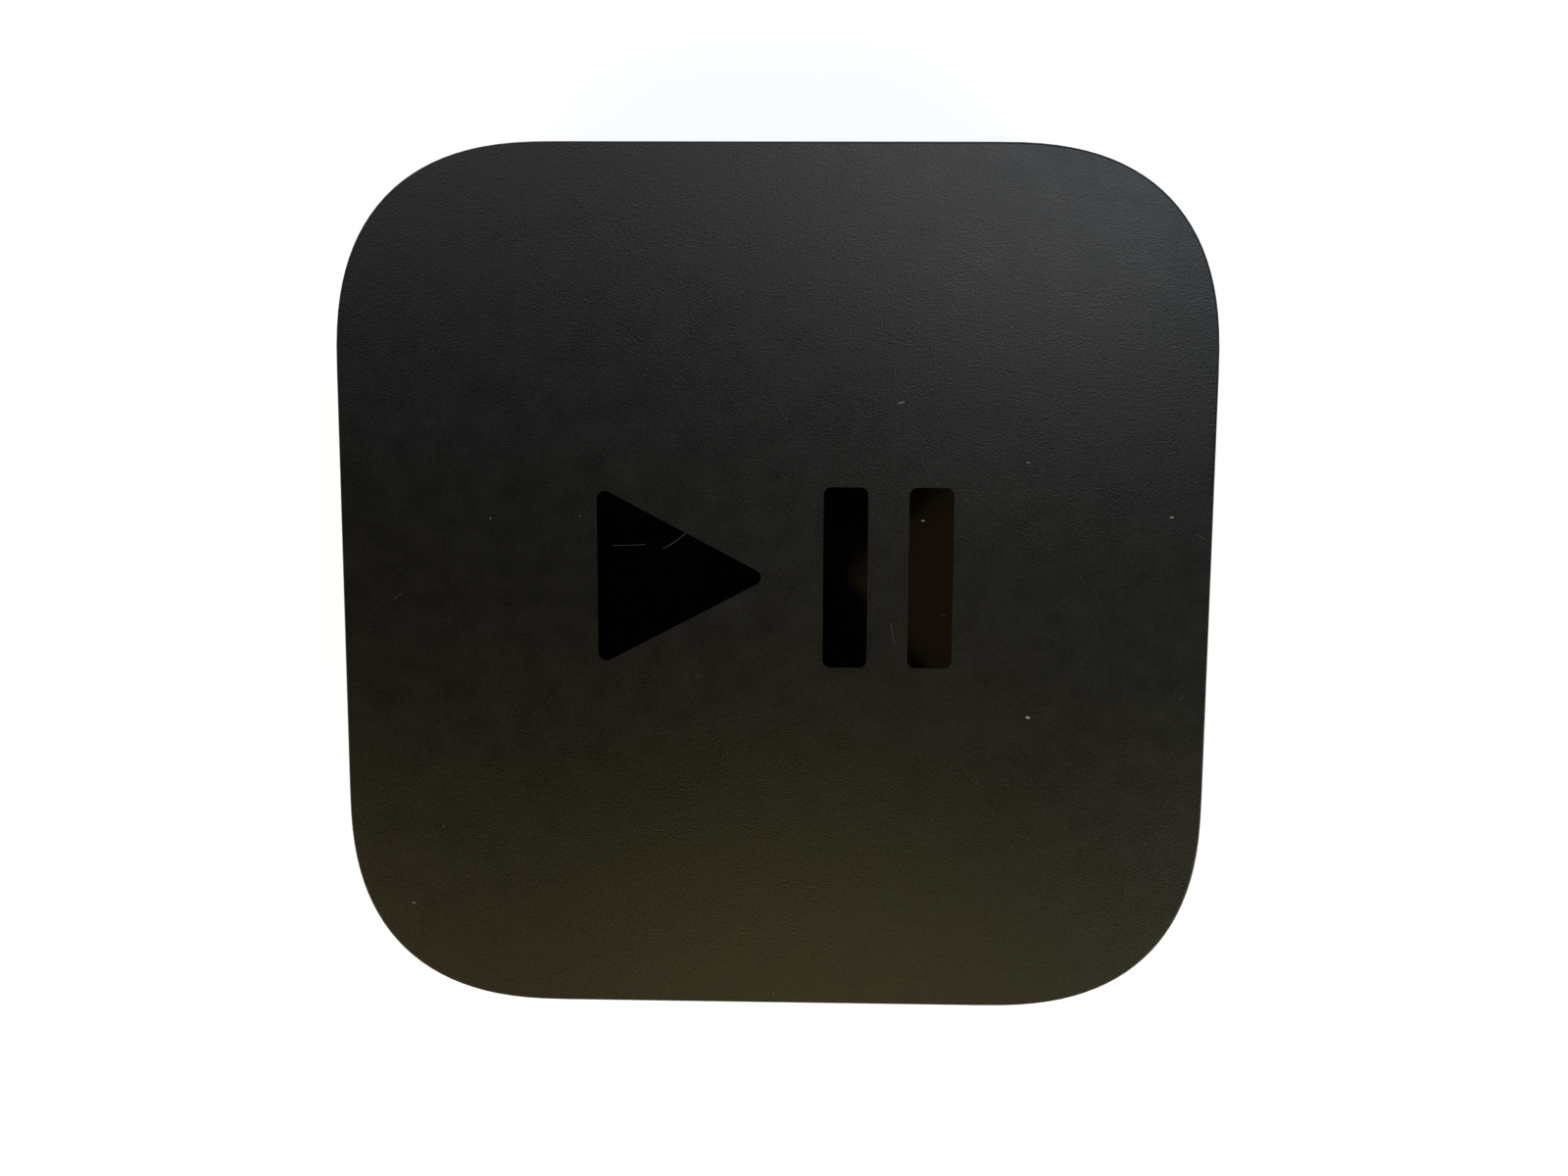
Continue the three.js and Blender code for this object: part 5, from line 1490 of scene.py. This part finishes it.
def makeCans():
    half, (bareDepth, bareEdge) = can["scoreWidth"] / 2, can["bare"]
    for number, node in enumerate(("bulk_capacitor_1", "bulk_capacitor_2", "output_capacitor_1",
                                   "output_capacitor_2")):
        low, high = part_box(node)
        x, y, z = middle(node)
        lying = node.startswith("bulk")
        radius = (high.y - low.y) / 2
        length = high.x - low.x if lying else high.z - low.z
        piece = turned("capacitor%d" % (number + 1), canProfile(radius, length), 72)
        plate = length - can["sleeveStep"]
        for degrees in can["scores"]:
            score = brick("tool", (-radius * 0.6, -half, plate - can["scoreDepth"]),
                          (radius * 0.6, half, length + past))
            carved(piece, turnedBy(score, math.radians(degrees)))
        if lying:
            turnedBy(piece, math.pi / 2, "Y")
            piece.data.transform(Matrix.Translation((low.x, y, z)))
            axis, end = Vector((1, 0, 0)), Vector((high.x, y, z))
        else:
            piece.data.transform(Matrix.Translation((x, y, low.z)))
            axis, end = Vector((0, 0, 1)), Vector((x, y, high.z))
        shaded(piece)
        painted(piece, materials["shrinkSleeve"], materials["castAluminium"])
        # bare metal shows inside the sleeve's rolled edge
        for face in piece.data.polygons:
            away = face.center - end
            along = away.dot(axis)
            if along > -bareDepth and (away - axis * along).length < radius - bareEdge:
                face.material_index = 1
        placed(piece, "sleeve", node)


makeCans()


transformer = {
    "coreHalf": 4.5 * mm,
    "coreRound": 0.4 * mm,
    "coreStart": 0.15,  # of the whole height
    "seam": (0.1 * mm, 0.12 * mm),  # its width and depth
    "bobbinGap": 0.1 * mm,
    "bobbinWidth": 14 * mm,
    "bobbinRound": 1.2 * mm,
    "flange": 1.15 * mm,
    "tapeSwell": 0.07,
    "tapePlace": (1.2 * mm, 1.6 * mm),  # up from the foot, and short of four fifths of the height
}


# two core halves round a bobbin that is wound with wire and wrapped in tape
def makeTransformer():
    low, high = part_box("supply_transformer")
    x, y, _ = middle("supply_transformer")
    tall, coreHalf, (seam, deep) = high.z - low.z, transformer["coreHalf"], transformer["seam"]
    core = brick("transformerCore", (low.x, y - coreHalf, low.z + tall * transformer["coreStart"]),
                 (high.x, y + coreHalf, high.z), transformer["coreRound"], 3)
    for x0, x1 in ((low.x - past, low.x + deep), (high.x - deep, high.x + past)):
        carved(core, brick("tool", (x0, y - seam / 2, low.z), (x1, y + seam / 2, high.z + past)))
    finished(core, "ferrite", "supply_transformer")
    bobbins = []
    width, flange, swell = transformer["bobbinWidth"], transformer["flange"], transformer["tapeSwell"]
    start, less = transformer["tapePlace"]
    for side in (-1, 1):
        y0, y1 = sorted((y + side * (coreHalf + transformer["bobbinGap"]), y + side * (high.y - low.y) / 2))
        shape = rectangle(width, y1 - y0, transformer["bobbinRound"], 6)
        rings = []
        for share in arcSteps(0, 1, 8):
            grown = 1 - swell + swell * max(0.0, math.sin(math.pi * share)) ** 0.5
            z = low.z + start + share * (tall * 0.8 - less)
            rings.append([(x + px * grown, (y0 + y1) / 2 + py * grown, z) for px, py in shape])
        bobbins += [loft("tape", rings), brick("flange", (x - width / 2, y0, low.z),
                                               (x + width / 2, y1, low.z + flange), 0.2 * mm)]
    finished(gathered("transformerWinding", bobbins), "cable_film")


makeTransformer()


choke = {
    "turns": 13,  # in each of the two windings
    "stepsPerTurn": 20,
    "wire": 0.42 * mm,
    "coreRound": 0.6 * mm,
    "gap": 24,  # degrees between the two windings, on each side
}


# a ring core with two windings, one on each half
def makeChoke():
    low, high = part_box("line_choke")
    x, y, z = middle("line_choke")
    wire, soft = choke["wire"], choke["coreRound"]
    skin = 2 * wire + clearance
    inner, outer = (high.x - low.x) / 4 + skin, (high.x - low.x) / 2 - skin
    bottom, top = low.z + skin, high.z - skin
    core = turned("chokeCore", ringProfile(inner, outer, bottom, top, soft, soft), 72, x, y)
    finished(core, "ferrite", "line_choke")
    centreLine, reach = (inner + outer) / 2, (outer - inner) / 2 + wire + 0.02 * mm
    rise = (top - bottom) / 2 + wire + 0.02 * mm
    steps = choke["turns"] * choke["stepsPerTurn"]
    coils = []
    for side in range(2):
        first, last = (math.radians(side * 180 + edge) for edge in (choke["gap"], 180 - choke["gap"]))
        path = []
        for i in range(steps + 1):
            c, s = onCircle(1, fullTurn * i / choke["stepsPerTurn"])
            square = (c ** 4 + s ** 4) ** 0.25
            px, py = onCircle(centreLine + reach * c / square, mixed(first, last, i / steps))
            path.append((x + px, y + py, z + rise * s / square))
        coils.append(wireAlong("coil", path, wire, 8))
    finished(gathered("chokeWindings", coils), "copper", angle=50)


makeChoke()
report("supply parts are built")


screw = {
    "headRound": 0.35 * mm,
    "headEdge": 0.1 * mm,
    "drive": 0.42,  # of the head's radius
    "driveDepth": 0.6 * mm,
    "pitch": 0.5 * mm,
    "threadDepth": 0.14 * mm,
    "threadLength": 6 * mm,
    "threadEnds": (0.3 * mm, 0.4 * mm),  # least plain length under the head, and before the end
    "point": (0.35 * mm, 0.3 * mm),
    "stack": (1.25 * mm, 1.5 * mm),  # the shank's radius and the head's height
    "fan": (0.9 * mm, 0.9 * mm),
}


# a screw that points up, with its head below; the shank carries a thread near its end
def makeScrew(name, node, shankRadius, headHeight):
    low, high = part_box(node)
    x, y, _ = middle(node)
    radius, edge, head = (high.x - low.x) / 2, screw["headEdge"], low.z + headHeight
    profile = [(0, low.z)] + footEdge(radius, low.z, min(screw["headRound"], headHeight / 2), 5)
    profile += [(radius, head - edge), (radius - edge, head), (shankRadius, head)]
    pitch, root = screw["pitch"], shankRadius - screw["threadDepth"]
    plain, left = screw["threadEnds"]
    start = max(head + plain, high.z - screw["threadLength"])
    profile.append((shankRadius, start))
    for i in range(int((high.z - left - start) / pitch)):
        at = start + i * pitch
        profile += [(root, at + pitch * 0.35), (root, at + pitch * 0.5), (shankRadius, at + pitch * 0.9)]
    slope, narrower = screw["point"]
    profile += [(shankRadius, high.z - slope), (shankRadius - narrower, high.z), (0, high.z)]
    body = turned(name, profile, 40, x, y)
    drive = shifted(circle(radius * screw["drive"], 6), x, y)
    carved(body, upright("tool", drive, low.z - past, low.z + screw["driveDepth"]))
    finished(body, "steel", node)


spacer = {
    "bore": 1.55 * mm,
    "innerEdge": 0.15 * mm,
    "outerEdge": 0.3 * mm,
}


def makeFasteners():
    for i in range(1, 5):
        makeScrew("stackScrew%d" % i, "stack_screw_%d" % i, *screw["stack"])
        makeScrew("fanScrew%d" % i, "fan_screw_%d" % i, *screw["fan"])
        node = "supply_spacer_%d" % i
        low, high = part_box(node)
        x, y, _ = middle(node)
        profile = ringProfile(spacer["bore"], (high.x - low.x) / 2, low.z, high.z, spacer["innerEdge"],
                              spacer["outerEdge"])
        finished(turned("spacer%d" % i, profile, 64, x, y), "brass", node)


makeFasteners()
report("fasteners are built")


studio = {
    "floorWidth": 6.0,
    "floorTone": (0.9, 0.9, 0.9),
    "paperScale": 300.0,
    "floorGlow": 0.72,
    "paintedShadowGlow": 0.25,  # share of the glow that is left beside the body, where the floor has a painted contact shadow
    "paintedShadowReach": 6 * mm,
    "skyBrightness": 1.0,
    "skyPower": 6.0,  # how fast the sky darkens upwards
    "backdrop": 0.85,
}


# the floor glows evenly like a light table, and the glow is weaker close round the body: a painted contact
# shadow
def floorGlow(work):
    place = work.add("ShaderNodeTexCoord").outputs["Object"]
    parts = work.add("ShaderNodeSeparateXYZ", inputs={0: place}).outputs
    fourth = [work.math("POWER", work.math("ABSOLUTE", parts[i]), 4.0) for i in range(2)]
    away = work.math("POWER", work.math("ADD", *fourth), 0.25)
    edge = shellHalf + studio["paintedShadowReach"]
    return work.spread(away, shellHalf, edge, studio["paintedShadowGlow"], 1.0, smooth=True)


def makeFloor():
    width = studio["floorWidth"]
    floor = objectFrom("floor", [(x, y, 0) for x, y in rectangle(width, width)], [(0, 1, 2, 3)])
    material, work, skin = newMaterial("paleFloor")
    skin.inputs["Roughness"].default_value = 0.8
    skin.inputs["Specular IOR Level"].default_value = 0.2
    paper = work.add("ShaderNodeTexNoise", inputs={"Scale": studio["paperScale"], "Detail": 3.0})
    tone = work.spread(paper.outputs[0], 0.3, 0.7, 0.985, 1.0)
    work.feed(skin, "Base Color", work.vector("SCALE", {0: studio["floorTone"], "Scale": tone}))
    # the floor's emission carries the painted contact shadow round the body
    work.feed(skin, "Emission Color", floorGlow(work))
    skin.inputs["Emission Strength"].default_value = studio["floorGlow"]
    # seen from below, the floor isn't there
    below = work.add("ShaderNodeNewGeometry").outputs["Backfacing"]
    clear = work.add("ShaderNodeBsdfTransparent")
    both = work.add("ShaderNodeMixShader", inputs={0: below, 1: skin.outputs[0], 2: clear.outputs[0]})
    work.feed(work.out, 0, both.outputs[0])
    painted(floor, material)


# soft panels round the object: bearing and tilt from upright in degrees, side in metres, and radiance
panelDistance = 0.8
panels = {
    "keyHigh": (45, 18, 0.22, (2.7, 2.5, 2.3)),
    "keyLow": (45, 30, 0.28, (0.6, 1.45, 2.3)),
    "rear": (90, 18, 0.22, (1.95, 2.0, 2.1)),
    "rearLeft": (135, 30, 0.28, (1.5, 1.5, 1.65)),
    "frontLeft": (225, 45, 0.34, (2.1, 1.6, 0.75)),
    "front": (270, 30, 0.28, (1.6, 1.3, 0.5)),
    "frontRight": (315, 45, 0.34, (2.9, 2.8, 1.9)),
    "amberCard": (313, 9.6, 0.1, (0.17, 0.1, 0.045)),
}


def makePanels():
    for name, (bearing, tilt, side, radiance) in panels.items():
        strongest = max(radiance)
        data = bpy.data.lights.new(name, "AREA")
        data.shape = "SQUARE"
        data.size = side
        data.color = [part / strongest for part in radiance]
        data.energy = strongest * math.pi * side * side
        lamp = linked(name, data)
        tilt = math.radians(tilt)
        towards = Vector((*onCircle(math.sin(tilt), math.radians(bearing)), math.cos(tilt)))
        lamp.location = Vector((0, 0, shellHigh.z)) + towards * panelDistance
        lamp.rotation_mode = "QUATERNION"
        lamp.rotation_quaternion = towards.to_track_quat("Z", "Y")
        lamp.visible_camera = False


# a sky that is dark overhead and bright at the horizon
def makeSky():
    world = bpy.data.worlds.new("studioSky")
    bpy.context.scene.world = world
    world.use_nodes = True
    tree = world.node_tree
    tree.nodes.clear()
    work = Nodes(tree)
    direction = work.add("ShaderNodeTexCoord").outputs["Generated"]
    height = work.add("ShaderNodeSeparateXYZ", inputs={0: direction}).outputs[2]
    level = work.math("SUBTRACT", 1.0, work.math("MULTIPLY", height, height))
    strength = work.math("MULTIPLY", work.math("POWER", level, studio["skyPower"]), studio["skyBrightness"])
    # the backdrop itself is pale wherever it is looked at directly
    direct = work.add("ShaderNodeLightPath").outputs["Is Camera Ray"]
    seen = work.add("ShaderNodeMix", inputs={0: direct, 2: strength, 3: studio["backdrop"]}).outputs[0]
    background = work.add("ShaderNodeBackground", inputs={"Color": (1.0, 1.0, 1.0, 1), "Strength": seen})
    work.feed(work.add("ShaderNodeOutputWorld"), 0, background.outputs[0])


makeFloor()
makePanels()
makeSky()
bpy.context.scene.view_settings.view_transform = "Standard"
report("studio is set")
